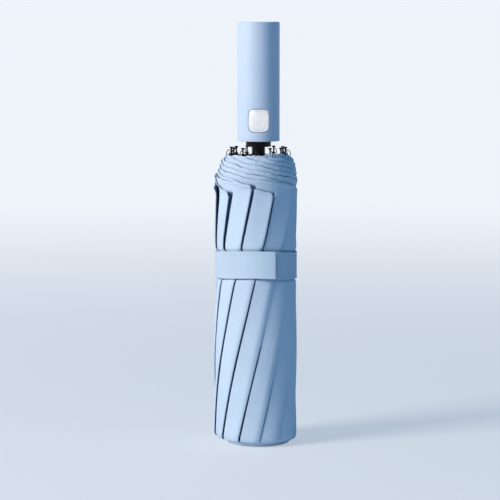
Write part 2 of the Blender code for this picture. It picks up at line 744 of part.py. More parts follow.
def make_canopy(finish):
    """The folded cloth as one soft hollow bundle round the ribs, its floor held under the shaft."""
    rings = [pleated_ring(height, radius) for height, radius in bundle_outline()]
    top_azimuth = twist(CLOTH_TOP)
    pleat_angle = math.tau / PLEAT_COUNT
    pleats_turned = round((top_azimuth - twist(CLOTH_FOOT)) / pleat_angle)
    floor_top = CLOTH_FOOT + CLOTH_FLOOR
    hole = BOSS_RADIUS + GAP
    for height, radius in (
        (CLOTH_TOP, HEM_BORE),
        (SHOULDER_FOOT, CLOTH_BORE),
        (floor_top, CLOTH_BORE),
        (floor_top, hole),
        (CLOTH_FOOT, hole),
    ):
        rings.append(plain_ring(height, radius, top_azimuth))
    shift = pleats_turned * len(PLEAT_SHARES)
    place_object("canopy", tiered(rings, closed=True, shift=shift), finish)


def make_strap(finish):
    """A band round the bundle whose free tab overlaps it at the front and ends square."""
    steps = ROUND_STEPS
    bore = []
    outside = []
    for step in range(steps):
        turn = TAB_END + math.tau * step / steps
        behind = math.tau - math.tau * step / steps
        ramp = (TAB_LENGTH_ANGLE + TAB_RAMP_ANGLE - behind) / TAB_RAMP_ANGLE
        lift = STRAP_THICKNESS * min(max(ramp, 0), 1)
        if step == 0:
            lift = 0
        reach = STRAP_RADIUS + lift
        bore.append(Vector((STRAP_BORE * math.cos(turn), STRAP_BORE * math.sin(turn))))
        outside.append(Vector((reach * math.cos(turn), reach * math.sin(turn))))
    rings = []
    for loop, height in (
        (outside, STRAP_FOOT),
        (outside, STRAP_TOP),
        (bore, STRAP_TOP),
        (bore, STRAP_FOOT),
    ):
        rings.append([Vector((flat.x, flat.y, height)) for flat in loop])
    place_object("strap", tiered(rings, closed=True), finish)


def main():
    clear_scene()
    light_blue = material("light_blue_coating", (0.55, 0.72, 0.90), 0.35)
    cap_blue = material("cap_plastic", (0.62, 0.74, 0.86), 0.40)
    cloth = material("light_blue_cloth", (0.50, 0.68, 0.90), 0.80)
    black = material("black_plastic", (0.02, 0.02, 0.025), 0.40)
    rib_black = material("black_rib", (0.03, 0.03, 0.035), 0.35, 0.6)
    steel = material("black_steel", (0.05, 0.05, 0.055), 0.30, 0.9)
    chrome = material("chrome", (0.85, 0.86, 0.88), 0.08, 1.0)
    spring_steel = material("spring_steel", (0.45, 0.45, 0.47), 0.30, 1.0)
    make_crown_cap(cap_blue)
    make_crown_notch(black)
    make_shaft(steel)
    make_opening_spring(spring_steel)
    make_grip(light_blue)
    make_core(black)
    make_button(chrome)
    make_runner(black)
    make_ribs(rib_black)
    make_canopy(cloth)
    make_strap(cloth)


main()
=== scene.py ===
"""A folded and strapped automatic umbrella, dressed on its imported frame.

Metres, +Z up. The push button faces -Y."""
import math

import bmesh
import bpy
import numpy as np
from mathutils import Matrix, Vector, noise


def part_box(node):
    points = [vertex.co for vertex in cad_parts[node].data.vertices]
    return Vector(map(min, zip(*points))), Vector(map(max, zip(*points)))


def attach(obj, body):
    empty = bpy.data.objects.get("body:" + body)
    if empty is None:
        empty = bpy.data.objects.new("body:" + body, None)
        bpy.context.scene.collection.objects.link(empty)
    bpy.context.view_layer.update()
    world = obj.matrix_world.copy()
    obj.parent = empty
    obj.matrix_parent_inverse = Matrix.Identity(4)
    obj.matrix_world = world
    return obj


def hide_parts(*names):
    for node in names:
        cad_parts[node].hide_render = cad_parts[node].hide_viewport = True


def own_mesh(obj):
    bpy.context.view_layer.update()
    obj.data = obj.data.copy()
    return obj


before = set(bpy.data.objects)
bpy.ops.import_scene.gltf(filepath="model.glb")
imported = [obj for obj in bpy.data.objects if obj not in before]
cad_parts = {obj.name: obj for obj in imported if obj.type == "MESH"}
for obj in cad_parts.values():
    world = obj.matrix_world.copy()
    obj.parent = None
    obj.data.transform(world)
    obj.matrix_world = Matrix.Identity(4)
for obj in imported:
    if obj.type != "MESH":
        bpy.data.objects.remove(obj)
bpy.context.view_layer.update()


def heights(node):
    """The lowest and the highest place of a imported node."""
    return [corner[2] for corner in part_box(node)]


# Camera and light
IMAGE_WIDTH = 500  # pixels of the photograph's frame
CAMERA_DISTANCE = 1.600
CAMERA_HEIGHT = 0.300
CAMERA_TILT = 0.1008
CAMERA_FOCUS = 2256.7  # pixels
CAMERA_PAN = -0.0060  # where the middle of the picture meets the axis's plane
SENSOR_WIDTH = 36.0
FLOOR_REACH = 6.0
FLOOR_FADE_START = 0.10
FLOOR_FADE_END = 2.2
FLOOR_FADE_LEAST = 0.52
FLOOR_STEPS = 96
BACKDROP_COLOUR = (0.86, 0.90, 0.96)
FLOOR_COLOUR = (0.83, 0.90, 0.98)
AMBIENT_COLOUR = (0.11, 0.53, 1.0)
AMBIENT_STRENGTH = 0.31
KEY_PLACE = (-1.96, -1.20, 1.20)
KEY_SIZE = 0.9
KEY_POWER = 62
KEY_COLOUR = (1.0, 0.885, 0.775)
LIGHT_TARGET = (0.0, 0.0, 0.14)

# Crown cap
CAP_RADIUS, _, BOSS_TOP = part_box("crown_cap")[1]
CAP_HEIGHT = 0.0044
CAP_EDGE = 0.0024
CAP_BEVEL = 0.0006
CAP_GROOVE_HEIGHT = 0.0033
CAP_GROOVE = 0.00012
BOSS_RADIUS = 0.0039
ROUND_STEPS = 128
ROUNDING_STEPS = 8
SHARP_ANGLE = math.radians(38)

# Grip and button
GRIP_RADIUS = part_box("handle_grip")[1][0]
GRIP_FOOT, GRIP_TOP = heights("handle_grip")
GRIP_BORE = 0.0134
GRIP_ROOF = 0.0022
GRIP_EDGE = 0.0009
GRIP_FOOT_EDGE = 0.0003
GRIP_ROW_SHARES = (0.1, 0.3, 0.6, 0.9)  # of the way from the window's grid up to the top edge
END_FACE_SHARES = (0.8, 0.5, 0.2)
GRID_COLUMNS = 14  # on each side of the window's middle
GRID_ROWS = 28
GRID_HEIGHT = 0.0224
WINDOW_GAP = 0.0004
WINDOW_ROUNDING = 0.0005
WINDOW_EDGE_SHARES = (  # of the way from the window out to its grid, and of its rounding
    (0.45, 0.0), (0.22, 0.08), (0.10, 0.26), (0.035, 0.56), (0.0, 1.0),
)
WINDOW_BACK_SHARES = ((0.5, 0.0), (0.0, 0.0))
COLLAR_FRONT = 0.0106
COLLAR_BACK = 0.0096
COLLAR_REACH = 0.0009
STEM_RADIUS = 0.0025
BUTTON_LOW, BUTTON_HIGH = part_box("push_button")
BUTTON_MIDDLE = (BUTTON_LOW[2] + BUTTON_HIGH[2]) / 2
BUTTON_HALF_WIDTH = BUTTON_HIGH[0] - COLLAR_REACH
BUTTON_HALF_HEIGHT = BUTTON_HIGH[2] - BUTTON_MIDDLE - COLLAR_REACH
BUTTON_POWER = 3.8  # of its outline, 2 for an oval and more for squarer
BUTTON_STEPS = 24  # on each side of its outline
BUTTON_FACE = (  # how far in from the outline, and how far out from the grip's curve
    (0.0, -0.0022), (0.0, -0.00045), (0.00006, -0.00020), (0.00018, -0.00006), (0.00035, 0.0),
    (0.00095, 0.0), (0.00105, -0.00004), (0.00114, -0.00016), (0.00130, -0.00017), (0.00142, -0.00006),
    (0.0017, -0.00003),
)
BUTTON_DOME = 0.00010
DOME_SHARES = (0.85, 0.65, 0.45, 0.25, 0.08)

# End ribs, in each rib's own plane
RIB_COUNT = 12
RIB_START = math.radians(25)
ELBOW_RADIUS = 0.0162
ELBOW_HEIGHT = 0.0141
TIP_RADIUS = 0.0192
TIP_FOOT = 0.2062
TIP_TOP = heights("end_rib_01")[1]
RIB_HALF_WIDTH = 0.0009
RIB_HALF_DEPTH = 0.00095
RIB_POWER = 5  # of its section, which is a rounded square
ROUND_END_SHARES = (-0.98, -0.9, -0.75, -0.5, -0.25, 0.0)
BAR_SHARES = (0.02, 0.2, 0.4, 0.6, 0.8, 0.97)
EYE_RADIUS = 0.0008
SPOOL_RADIUS = 0.0014
SPOOL_WAIST = 0.00055
SPOOL_FLANGE = 0.0008
SPOOL_ROUNDING = 0.00022
HOOK_RADIUS = 0.00028
HOOK_SIDES = 10
HOOK_PLACES = (  # out from the tip's middle, and up from the elbow
    (0.0, 0.1949), (0.0012, 0.1956), (0.0022, 0.1955), (0.0030, 0.1947), (0.0035, 0.1934), (0.0037, 0.1918),
)
SECTION_STEPS = 24

# Strap
STRAP_CLEARANCE = 0.0003  # between its edges and its solid's
STRAP_FOOT, STRAP_TOP = heights("strap")
STRAP_MIDDLE = (STRAP_FOOT + STRAP_TOP) / 2
STRAP_HALF = (STRAP_TOP - STRAP_FOOT) / 2 - STRAP_CLEARANCE
STRAP_DROP = 0.0030  # how much lower it sits behind than in front
STRAP_FRONT = math.radians(267)
STRAP_DROP_REACH = math.radians(120)
STRAP_DRIFT = 0.0004
STRAP_DRIFT_PLACE = (math.radians(318), math.radians(34))
STRAP_START = math.radians(196)
STRAP_END = math.radians(294.6) + math.tau
STRAP_RAMP = (math.radians(540), math.radians(556))  # where it climbs onto itself
STRAP_BORE = 0.02830
STRAP_THICKNESS = 0.00070
STRAP_BEAD = 0.00013
STRAP_LIFT = 0.00086
STRAP_STEPS = 200
STRAP_WAVE = 0.00010
STRAP_WAVE_BEHIND_SHARE = 0.3
STRAP_WAVE_SCALES = (3.0, 1.6, 2.0)
STRAP_EDGE_WAVE = 0.00012
STRAP_EDGE_WAVES = 5.0  # in each radian
STRAP_BULGE_SHARE = 0.92  # of the bundle's own shift
STRAP_FACE_SHARES = (  # across of its half width, then out of its half thickness and its bead
    (1.0, 0.0, 0.0), (0.992, 0.7, 0.0), (0.97, 1.0, 0.7), (0.93, 1.0, 1.0), (0.89, 1.0, 0.6),
    (0.86, 1.0, 0.0), (0.6, 1.0, 0.0), (0.3, 1.0, 0.0), (0.0, 1.0, 0.0),
)
STRAP_BACK_SHARES = ((0.99, -0.8, 0.0), (0.95, -1.0, 0.0), (0.5, -1.0, 0.0), (0.0, -1.0, 0.0))
TAB_START = STRAP_END - math.radians(36)
TAB_STRAIGHTNESS = 0.52  # 0 for a tab that follows the bundle, 1 for a straight one
TAB_CORNER = (  # back from the tab's end, and shares of its thickness and width there
    (0.050, 1.0, 1.0), (0.034, 1.0, 0.997), (0.020, 1.0, 0.985), (0.010, 1.0, 0.965),
    (0.004, 1.0, 0.945), (0.0, 0.5, 0.92),
)
TAB_ROWS = 4  # of the band's rows, whose place the corner takes
BAND_END_SHARE = 0.35
PAINTED_BAND_SHADE = 0.25  # painted shade over the band away from the tab
# where the band's painted shade fades out onto the tab
PAINTED_SHADE_FADE = (TAB_START - math.radians(34), TAB_START + math.radians(17))
STRAP_STITCH_START = math.radians(303)
STRAP_STITCH_INSET = 0.0017
STRAP_STITCH_STEP = 0.0026
STRAP_STITCH_LENGTH = 0.0018
THREAD_RADIUS = 0.00014
STITCH_SIDES = 6
STITCH_SHARES = (  # of the way along, of the thread's radius, and how far up in radii
    (0.0, 0.35, -0.6), (0.2, 0.9, 0.35), (0.5, 1.0, 0.75), (0.8, 0.9, 0.35), (1.0, 0.35, -0.6),
)

# Folded cloth
# Two or four values named heights, layers or depths say where a change starts and where it ends
PLEATS = RIB_COUNT
PLEAT_ANGLE = math.tau / PLEATS
PLEAT_EDGE_AT_STRAP = math.radians(272.4)
TWIST_BELOW_STRAP = math.radians(57.6)
TWIST_ABOVE_STRAP = math.radians(30.0)
UNEVEN_PLEATS = math.radians(6.5)
UNEVEN_HEIGHTS = (STRAP_MIDDLE, 0.152)
CLOTH_FOOT, CLOTH_TOP = heights("canopy")
CLOTH_RADIUS = 0.02935
HEM_RADIUS = 0.02245
ROOT_RADIUS = 0.0215
WAIST_FOOT = 0.1203
WAIST_TOP = 0.1407
WAIST_EDGE = 0.0009
WAIST_DROP = 0.00135
LOWER_OUTLINE = (  # heights, and how far in from the full radius
    (CLOTH_FOOT, 0.0006), (0.0051, -0.0002), (0.0060, -0.0008), (0.0078, -0.0012), (0.0600, -0.0013),
    (0.1000, -0.0009), (0.1150, -0.0006), (0.1175, -0.0004), (WAIST_FOOT - WAIST_EDGE, 0.0001),
    (WAIST_FOOT, WAIST_DROP), (WAIST_TOP, WAIST_DROP), (WAIST_TOP + WAIST_EDGE, 0.0002),
    (0.1435, -0.0002), (0.1460, -0.0003), (0.1750, 0.0),
)
SHOULDER_FOOT = 0.1840
SHOULDER_SHARES = ((0.0, 1.0), (0.42, 0.84), (0.63, 0.67), (0.88, 0.43), (1.0, 0.0))
FOOT_DROOP = 0.0015  # at the right, where the cloth hangs lowest
FOOT_DROOP_AZIMUTH = math.radians(350)
FOOT_DROOP_HEIGHTS = (0.008, 0.034)
FOOT_DROOP_LAYERS = (1.0, 1.8)
FOOT_DROOP_RADII = (CAP_RADIUS + 0.0004, CAP_RADIUS + 0.0040)
FOOT_LENGTH = 0.03
FOOT_RINGS = (  # a share of the rim's radius, and how far up from the foot
    (0.985, 0.00006), (0.955, 0.00002), (0.90, 0.0), (0.8, 0.00002), (0.55, 0.00012), (0.3, 0.0003),
    (0.18, 0.0005),
)
DIP_HEIGHTS = (0.085, 0.112, 0.148, 0.166)  # the rows follow the strap there
BULGE_LEFT = 0.0018
BULGE_AT_FOOT = 0.0023
BULGE_AT_HEM = 0.0010
BULGE_LOWER_HEIGHTS = (0.045, 0.105)
BULGE_UPPER_HEIGHTS = (0.180, 0.204)
BULGE_REACH_SHARE = 1.2
LAYERS = 7.7
PLEAT_STEP = 0.0013
LEAST_ROOM = 0.7  # in steps between the layers
CLOTH_GAP = 0.00045
FOLD_GAP = 0.00075
FOLD_GAP_LAYERS = (0.0, 0.5)
FOLD_SHARES = ((0.25, 0.75), (0.5, 1.0), (0.75, 0.75))  # of the gap, in and round the free edge
FOLD_ROUNDNESS = 0.45
# painted shade round the fold's half round, from its outer face to its inner one
FOLD_PAINTED_SHADE_SHARES = np.array((0.3, 0.7, 0.9))
ROOT_PLACES = np.array((0.35, 0.7))  # in pleats, on from the innermost layer
FACET_DROP = 0.00090  # how much flatter than the round bundle a pleat's face is
FACET_HEIGHTS = (0.176, 0.188)
WAIST_FACET_SHARE = 0.4
UPPER_HEIGHTS = (0.136, 0.150)
EDGE_ROLLS = (  # at a free edge below the strap, above it, and what a soft crease adds
    (0.16, 0.07, 0.16),  # how far in, in layers
    (0.0006, 0.0003, 0.00105),  # how deep
)
CREASE_VALLEY = 0.0006
CREASE_VALLEY_LAYERS = (0.5, 1.0, 1.0, 1.6)
EDGE_LIFT = 0.0009
EDGE_LIFT_HEIGHTS = (0.142, 0.182)
EDGE_LIFT_LAYERS = 0.5
EDGE_LIFT_SHARES = (0.6, 0.4)  # its mean and its swing from fold to fold
EDGE_LIFT_TURN = 2.1  # radians for a fold
SLIT_SHARE = 0.76
SLIT_EDGE = 0.022  # in layers, as are the widths
SLIT_WIDTH = 0.072
SLIT_WIDENING = 0.040
SLIT_WIDENING_HEIGHTS = (0.142, 0.176)
SLIT_FLANK_LAYERS = (-0.55, -0.02)
SLIT_SHUT = (-0.0015, 0.0010)  # heights from the free corner's
SLIT_SHARES = np.array((  # how open each free edge's slit is at the foot, under and above the strap
    (0.85, 0.85, 0.15, 0.10, 0.5, 0.4, 0.5, 0.4, 0.5, 0.6, 0.7, 0.85),
    (0.75, 0.0, 0.0, 0.10, 0.4, 0.3, 0.4, 0.3, 0.4, 0.5, 0.45, 0.75),
    (0.68, 0.15, 0.3, 0.5, 0.6, 0.5, 0.6, 0.5, 0.05, 1.0, 1.0, 0.82),
))
SLIT_LOWER_HEIGHTS = (0.022, 0.088)
SLIT_UPPER_HEIGHTS = (0.122, 0.138)
FOLD_SHADE = (0.20, 0.29, 0.37)  # painted shade: the cloth's colour deep between the folds, as shares of its own, bluish like light bounced between them
PAINTED_SLIT_SHADE_SHARES = (0.1, 0.9)
COVERED_LAYERS = (0.99, 1.03)
PAINTED_SHADE_DEPTHS = (0.0006, 0.0018)  # of the painted shade, below the hem that lies over a fold
RIPPLE = 0.00020
RIPPLE_SCALES = (1.3, 5.3, 38.0)  # of a layer, a fold and the height
GATHER = 0.00034
GATHER_DEPTH = 0.009
GATHER_LAYERS = (0.5, 1.6)
GATHER_SCALES = (6.5, 3.7, 190.0)

# Hem
HEM_START = 0.1835
HEM_RISE = 0.0033  # for each layer further in
HEM_RISE_LOSS = 0.00002
HEM_STEP = 0.00066  # between the layers at the hem
HEM_STEP_HEIGHTS = (0.180, 0.192)
HEM_BLEND_LAYERS = (0.4, 1.0)
HEM_FLARE = 0.00006
HEM_FLARE_DEPTH = 0.0016
HEM_FLARE_POWER = 1.5
HEM_FLARE_LAYERS = (0.0, 0.6)
HEM_GROOVE = 0.00020
HEM_GROOVE_PLACE = (0.0002, 0.00035)  # how far above the hem, and how wide
HEM_GROOVE_LAYERS = (0.96, 1.06)
HEM_CLEAR = 0.0021  # the least height of a fold's own strip of hem
# painted shade in the narrow line just above each hem
HEM_LINE_SHADE = 0.48
HEM_LINE_DEPTHS = (0.0002, 0.0009)
HEM_INNER_DROP = 0.0005
HEM_INNER_LAYERS = (0.0, 0.2)
HEM_WAVE = 0.00034
HEM_WAVE_LAYERS = (0.2, 0.9)
HEM_WAVE_TURNS = (4.1, 1.7)  # radians for a layer and for a fold
HEM_FINE_WAVE = 0.00017
HEM_FINE_WAVE_TURNS = (11.3, 2.3)
UNEVENNESS_SHARE = 0.7
UNEVENNESS_TURNS = ((3.7, 1.9), (1.3, 0.8))
CORNER_LIFTS = np.array((
    -0.0030, 0.0020, -0.0015, 0.0018, -0.0020, 0.0015, -0.0018, 0.0020, 0.0080, 0.0005, -0.0030, 0.0025,
))
CORNER_LIFT_LAYERS = (0.5, 2.2)
CORNER_CUT = 0.0019
CORNER_CUT_LAYERS = 0.13
CORNER_CURLS = (0.0, 0.0, 0.0004, 0.0, 0.0005, 0.0, 0.0006, 0.0004, 0.0, 0.0022, 0.0, 0.0)
CORNER_CURL_HEIGHTS = (HEM_START - 0.006, HEM_START + 0.004)
CORNER_CURL_LAYERS = 0.30
TOP_LIFT = 0.0024
TOP_LIFT_PLACE = (math.radians(304), math.radians(30))  # its azimuth and width
TOP_RAISE = 0.0011
TOP_RAISE_PLACE = (math.radians(230), math.radians(60))
TOP_LAYERS = (LAYERS - 1.4, LAYERS - 0.3)
PUFF = 0.00045
PUFF_TURNS = (9.0, 1.3)
HEM_BAND_DEPTH = 0.0021
HEM_BAND_RISE = 0.00008
HEM_BAND_HALF = 0.00018
HEM_BAND_START = 0.035  # in layers, as is its step
HEM_BAND_STEP = 0.05
HEM_BAND_LOSS_SHARE = 0.25
HEM_BAND_SHARES = (  # down of its depth, and out of its half thickness
    (0.0, 0.0), (-0.06, 0.8), (-0.2, 1.0), (-0.85, 1.0), (-1.0, 0.5), (-1.0, -0.5), (-0.85, -1.0),
    (-0.06, -0.8),
)
HEM_STITCH_DROP = 0.0013
HEM_STITCH_LAYERS = (0.14, LAYERS - 0.2)
HEM_STITCH_STEP = 0.155  # in layers, as is its length
HEM_STITCH_LENGTH = 0.10

# Where the cloth is sampled, closely at the free edges, the slits, the strap and the hems
OUTER_LAYERS = np.array(
    [0.0, 0.008, 0.018, 0.032, 0.050, 0.075, 0.105, 0.145, 0.20, 0.27, 0.36, 0.46, 0.56, 0.66, 0.76, 0.83]
    + [0.875, 0.892, 0.905, 0.92, 0.932, 0.945, 0.965, 0.985]
    + [*np.arange(1.0, LAYERS - 0.05, 0.1), LAYERS]
)[::-1]
INNER_LAYERS = np.array(
    [0.02, 0.06, 0.12, 0.2, 0.35, 0.55, 0.8, 0.93, 1.0, 1.2, *np.linspace(1.5, LAYERS, 16)]
)
LOWER_HEIGHTS = (
    [0.0049, 0.0052, 0.0057, 0.0064, 0.0078, 0.0105, 0.016, 0.023]
    + [0.031 + 0.0110 * step for step in range(8)]
    + [0.1150, 0.1175, WAIST_FOOT - WAIST_EDGE, WAIST_FOOT, 0.1265, 0.1345, WAIST_TOP]
    + [WAIST_TOP + WAIST_EDGE, 0.1435, 0.1460, 0.151, 0.157, 0.163, 0.168, 0.172]
)
MIDDLE_ROWS = 3
GROOVE_OFFSETS = (-0.0016, -0.0004, 0.00005, 0.00025, 0.0005, 0.0009)
HEM_OFFSETS = (-0.0007, -0.0003, 0.0)
HEM_ROWS = 4


# Shares
def smooth_share(value, low, high):
    """0 at low, 1 at high and smooth between them."""
    share = np.clip((np.asarray(value, float) - low) / (high - low), 0, 1)
    return share * share * (3 - 2 * share)


def stretch_share(value, start, full, last_full, end):
    """1 along a stretch and 0 outside it, with smooth ends."""
    return smooth_share(value, start, full) * (1 - smooth_share(value, last_full, end))


def fading_share(value, reach, power=2):
    """1 at zero, falling to nothing at a reach."""
    return np.clip(1 - value / reach, 0, 1) ** power


def bell_share(value, middle, width):
    """1 at the middle, falling to nothing some widths away from it."""
    return np.exp(-(((value - middle) / width) ** 2))


def between(first, second, share):
    return first + (second - first) * share


# Shared shapes
def bridge(low, high):
    """Faces between two equal rings of point numbers."""
    count = len(low)
    return [(low[i], low[(i + 1) % count], high[(i + 1) % count], high[i]) for i in range(count)]


def tube(rings):
    """Points and faces of a stack of equal rings, open at both ends."""
    count = len(rings[0])
    points = [point for ring in rings for point in ring]
    tiers = [range(first, first + count) for first in range(0, len(points), count)]
    return points, [face for low, high in zip(tiers, tiers[1:]) for face in bridge(low, high)]


def skin(rings):
    """The same with a face on each end."""
    points, faces = tube(rings)
    count = len(rings[0])
    return points, [*faces, tuple(range(count)), tuple(range(len(points) - count, len(points)))]


def add_skin(points, faces, rings):
    """Adds one more closed stack of rings to a mesh's points and faces."""
    first = len(points)
    ring_points, ring_faces = skin(rings)
    points += ring_points
    faces += [tuple(first + corner for corner in face) for face in ring_faces]


def circle(radius, height, steps, start=0.0):
    turns = [math.tau * step / steps + start for step in range(steps)]
    return [(radius * math.cos(turn), radius * math.sin(turn), height) for turn in turns]


def wire_ring(middle, side, front, radius, sides):
    """One ring of a thin round wire, in the plane of two directions."""
    turns = [math.tau * step / sides for step in range(sides)]
    return [middle + (side * math.cos(turn) + front * math.sin(turn)) * radius for turn in turns]


def quarter_round(radius, height, size, top=False):
    """Profile points, going up, of a rounded edge at the foot or the top of a round piece."""
    start = 0 if top else -math.pi / 2
    middle = height - size if top else height + size
    turns = [start + math.pi / 2 * step / ROUNDING_STEPS for step in range(ROUNDING_STEPS + 1)]
    return [(radius - size + size * math.cos(turn), middle + size * math.sin(turn)) for turn in turns]


def new_mesh(name, points, faces):
    mesh = bpy.data.meshes.new(name)
    mesh.from_pydata([tuple(point) for point in points], [], [tuple(face) for face in faces])
    return mesh


def face_outwards(mesh, *added):
    """Turns a closed mesh's faces outwards, and adds other closed meshes to it."""
    shape = bmesh.new()
    for part in (mesh, *added):
        shape.from_mesh(part)
    bmesh.ops.recalc_face_normals(shape, faces=shape.faces)
    shape.to_mesh(mesh)
    shape.free()


def finish_mesh(mesh, finish, sharp):
    mesh.materials.clear()
    mesh.materials.append(finish)
    mesh.shade_smooth()
    if sharp:
        mesh.set_sharp_from_angle(angle=SHARP_ANGLE)


def new_object(name, data):
    thing = bpy.data.objects.new(name, data)
    bpy.context.scene.collection.objects.link(thing)
    return thing


def mesh_object(name, points, faces, finish, closed=True, sharp=False):
    mesh = new_mesh(name, points, faces)
    if closed:
        face_outwards(mesh)
    finish_mesh(mesh, finish, sharp)
    return new_object(name, mesh)


def set_uv(piece, places):
    """One flat place in metres for each point of the mesh."""
    layer = piece.data.uv_layers.new(name="cloth")
    corners = np.zeros(len(piece.data.loops), int)
    piece.data.loops.foreach_get("vertex_index", corners)
    layer.data.foreach_set("uv", np.asarray(places, float)[corners].ravel())


def set_painted_shade(piece, shades):
    """How much painted shade each point gets, which darkens the cloth's colour deep between the folds."""
    layer = piece.data.attributes.new("painted_fold_shade", "FLOAT", "POINT")
    layer.data.foreach_set("value", np.asarray(shades, np.float32))


# Materials
class Nodes:
    """The nodes of a material or the world, each added with its inputs and settings in one call."""

    def __init__(self, owner):
        owner.use_nodes = True
        self.tree = owner.node_tree
        self.tree.nodes.clear()

    def add(self, kind, inputs=None, **settings):
        """Inputs go by name or number, and take a value, another's output or a node's first output."""
        node = self.tree.nodes.new("ShaderNode" + kind)
        for label, value in settings.items():
            setattr(node, label, value)
        for place, value in (inputs or {}).items():
            self.put(node.inputs[place], value)
        return node

    def put(self, target, value):
        if hasattr(value, "outputs"):
            value = value.outputs[0]
        if hasattr(value, "is_linked"):
            self.tree.links.new(value, target)
        else:
            target.default_value = value

    def math(self, operation, first, second=0.0):
        return self.add("Math", {0: first, 1: second}, operation=operation)

    def any_ray(self, *kinds):
        """1 for rays of these kinds and 0 for others."""
        rays = self.add("LightPath")
        found = rays.outputs[kinds[0]]
        for kind in kinds[1:]:
            found = self.math("MAXIMUM", found, rays.outputs[kind])
        return found


class Shading(Nodes):
    """A material with one shader, and short calls for what feeds it."""

    def __init__(self, name, sockets):
        self.material = bpy.data.materials.new(name)
        super().__init__(self.material)
        self.surface = self.add("BsdfPrincipled", sockets)
        self.add("OutputMaterial", {"Surface": self.surface})
        self.place = self.add("TexCoord").outputs["Object"]

    def noise(self, scale, detail, place=None):
        vector = self.place if place is None else place
        return self.add("TexNoise", {"Vector": vector, "Scale": scale, "Detail": detail})

    def ramp(self, value, low, high, places=(0.3, 0.7)):
        """A colour that goes from one to another, between two places of a value."""
        node = self.add("ValToRGB", {0: value})
        for element, place, colour in zip(node.color_ramp.elements, places, (low, high)):
            element.position = place
            element.color = (*colour, 1.0)
        return node

    def feed(self, label, value):
        self.put(self.surface.inputs[label], value)

    def roughness(self, value, low, high):
        self.feed("Roughness", self.add("MapRange", {"Value": value, "To Min": low, "To Max": high}))

    def bump(self, height, strength, distance):
        node = self.add("Bump", {"Strength": strength, "Distance": distance, "Height": height})
        self.feed("Normal", node)


def shade(colour, factor):
    return tuple(min(part * factor, 1.0) for part in colour)


def speckled_material(name, sockets, patches, colours, gloss=None, grain=None, bump=None):
    """A surface whose colour and gloss vary in soft patches, with a fine grain over them."""
    s = Shading(name, sockets)
    spots = s.noise(*patches)
    s.feed("Base Color", s.ramp(spots, *colours))
    if gloss:
        s.roughness(spots, *gloss)
    if grain:
        s.bump(s.noise(*grain), *bump)
    return s.material


def coating_material():
    """Satin light-blue coat: a very fine orange-peel, and a little unevenness in its gloss."""
    blue = (0.56, 0.68, 0.84)
    return speckled_material(
        "grip_coating", {"Roughness": 0.42, "Specular IOR Level": 0.30}, (55.0, 3.0),
        (shade(blue, 0.975), shade(blue, 1.02)), (0.36, 0.48), (2600.0, 2.0), (0.10, 0.00005),
    )


def cap_material():
    """Pale moulded plastic."""
    blue = (0.64, 0.78, 0.91)
    return speckled_material(
        "cap_plastic", {"Roughness": 0.4, "Specular IOR Level": 0.35}, (90.0, 3.0),
        (shade(blue, 0.96), shade(blue, 1.02)), (0.34, 0.48), (1800.0, 3.0), (0.12, 0.00006),
    )


def black_plastic_material():
    black = (0.0040, 0.0045, 0.0060)
    return speckled_material(
        "black_plastic_fine", {"Roughness": 0.38, "Specular IOR Level": 0.14}, (160.0, 3.0),
        (black, shade(black, 1.6)), (0.30, 0.48), (2400.0, 2.0), (0.2, 0.00005),
    )


def chrome_material():
    """Satin chrome with faint smears."""
    return speckled_material(
        "button_chrome", {"Roughness": 0.2, "Metallic": 1.0}, (240.0, 3.0),
        ((0.84, 0.85, 0.87), (0.92, 0.93, 0.94)), (0.20, 0.32), (3000.0, 2.0), (0.04, 0.00002),
    )


def spring_material():
    return speckled_material(
        "spring_wire", {"Roughness": 0.3, "Metallic": 1.0}, (900.0, 3.0),
        ((0.38, 0.38, 0.40), (0.50, 0.50, 0.52)), (0.22, 0.40),
    )


def thread_material():
    """Sewing thread, a little paler than the cloth, with the marks of its twist."""
    blue = (0.72, 0.83, 0.95)
    twist_marks = (4000.0, 2.0)
    return speckled_material(
        "sewing_thread", {"Roughness": 0.6, "Sheen Weight": 0.1, "Specular IOR Level": 0.2}, twist_marks,
        (shade(blue, 0.85), blue), grain=twist_marks, bump=(0.2, 0.00004),
    )


def black_metal_material(name, black, gloss):
    """Blackened steel with fine drawing marks along the umbrella."""
    s = Shading(name, {"Roughness": 0.35, "Metallic": 0.4, "Specular IOR Level": 0.14})
    drawn = s.add("Mapping", {"Vector": s.place, "Scale": (1.0, 1.0, 0.06)})
    marks = s.noise(2200.0, 3.0, drawn)
    s.feed("Base Color", s.ramp(s.noise(120.0, 2.0), black, shade(black, 1.5)))
    s.roughness(marks, *gloss)
    s.bump(marks, 0.12, 0.00003)
    return s.material


def cloth_material(name, blue, thread):
    """Pongee: a plain weave of fine threads, with slightly uneven dye and a soft sheen."""
    sheen = {"Sheen Weight": 0.06, "Sheen Roughness": 0.45}
    s = Shading(name, {"Roughness": 0.72, "Specular IOR Level": 0.14, **sheen})
    flat = s.add("SeparateXYZ", {0: s.add("TexCoord").outputs["UV"]})
    warp, weft = (s.math("SINE", s.math("MULTIPLY", flat.outputs[i], math.tau / thread)) for i in (0, 1))
    weave = s.math("MULTIPLY", warp, weft)
    patches = s.noise(45.0, 4.0)
    slubs = s.noise(700.0, 2.0)
    tone = s.math("ADD", s.math("MULTIPLY", weave, 0.10), s.math("MULTIPLY", slubs, 0.35))
    tone = s.math("ADD", tone, s.math("MULTIPLY", patches, 0.55))
    dyed = s.ramp(tone, shade(blue, 0.93), shade(blue, 1.03), (0.25, 0.70))
    # painted shade: deep between the folds the colour is darker and bluer, standing in for the shade there
    depth = s.add("Attribute", attribute_name="painted_fold_shade").outputs["Fac"]
    mixed = {0: depth, 6: dyed, 7: (*FOLD_SHADE, 1.0)}
    s.feed("Base Color", s.add("Mix", mixed, data_type="RGBA", blend_type="MULTIPLY").outputs[2])
    s.roughness(slubs, 0.62, 0.82)
    s.bump(s.math("ADD", weave, s.math("MULTIPLY", slubs, 0.8)), 0.25, 0.00005)
    return s.material


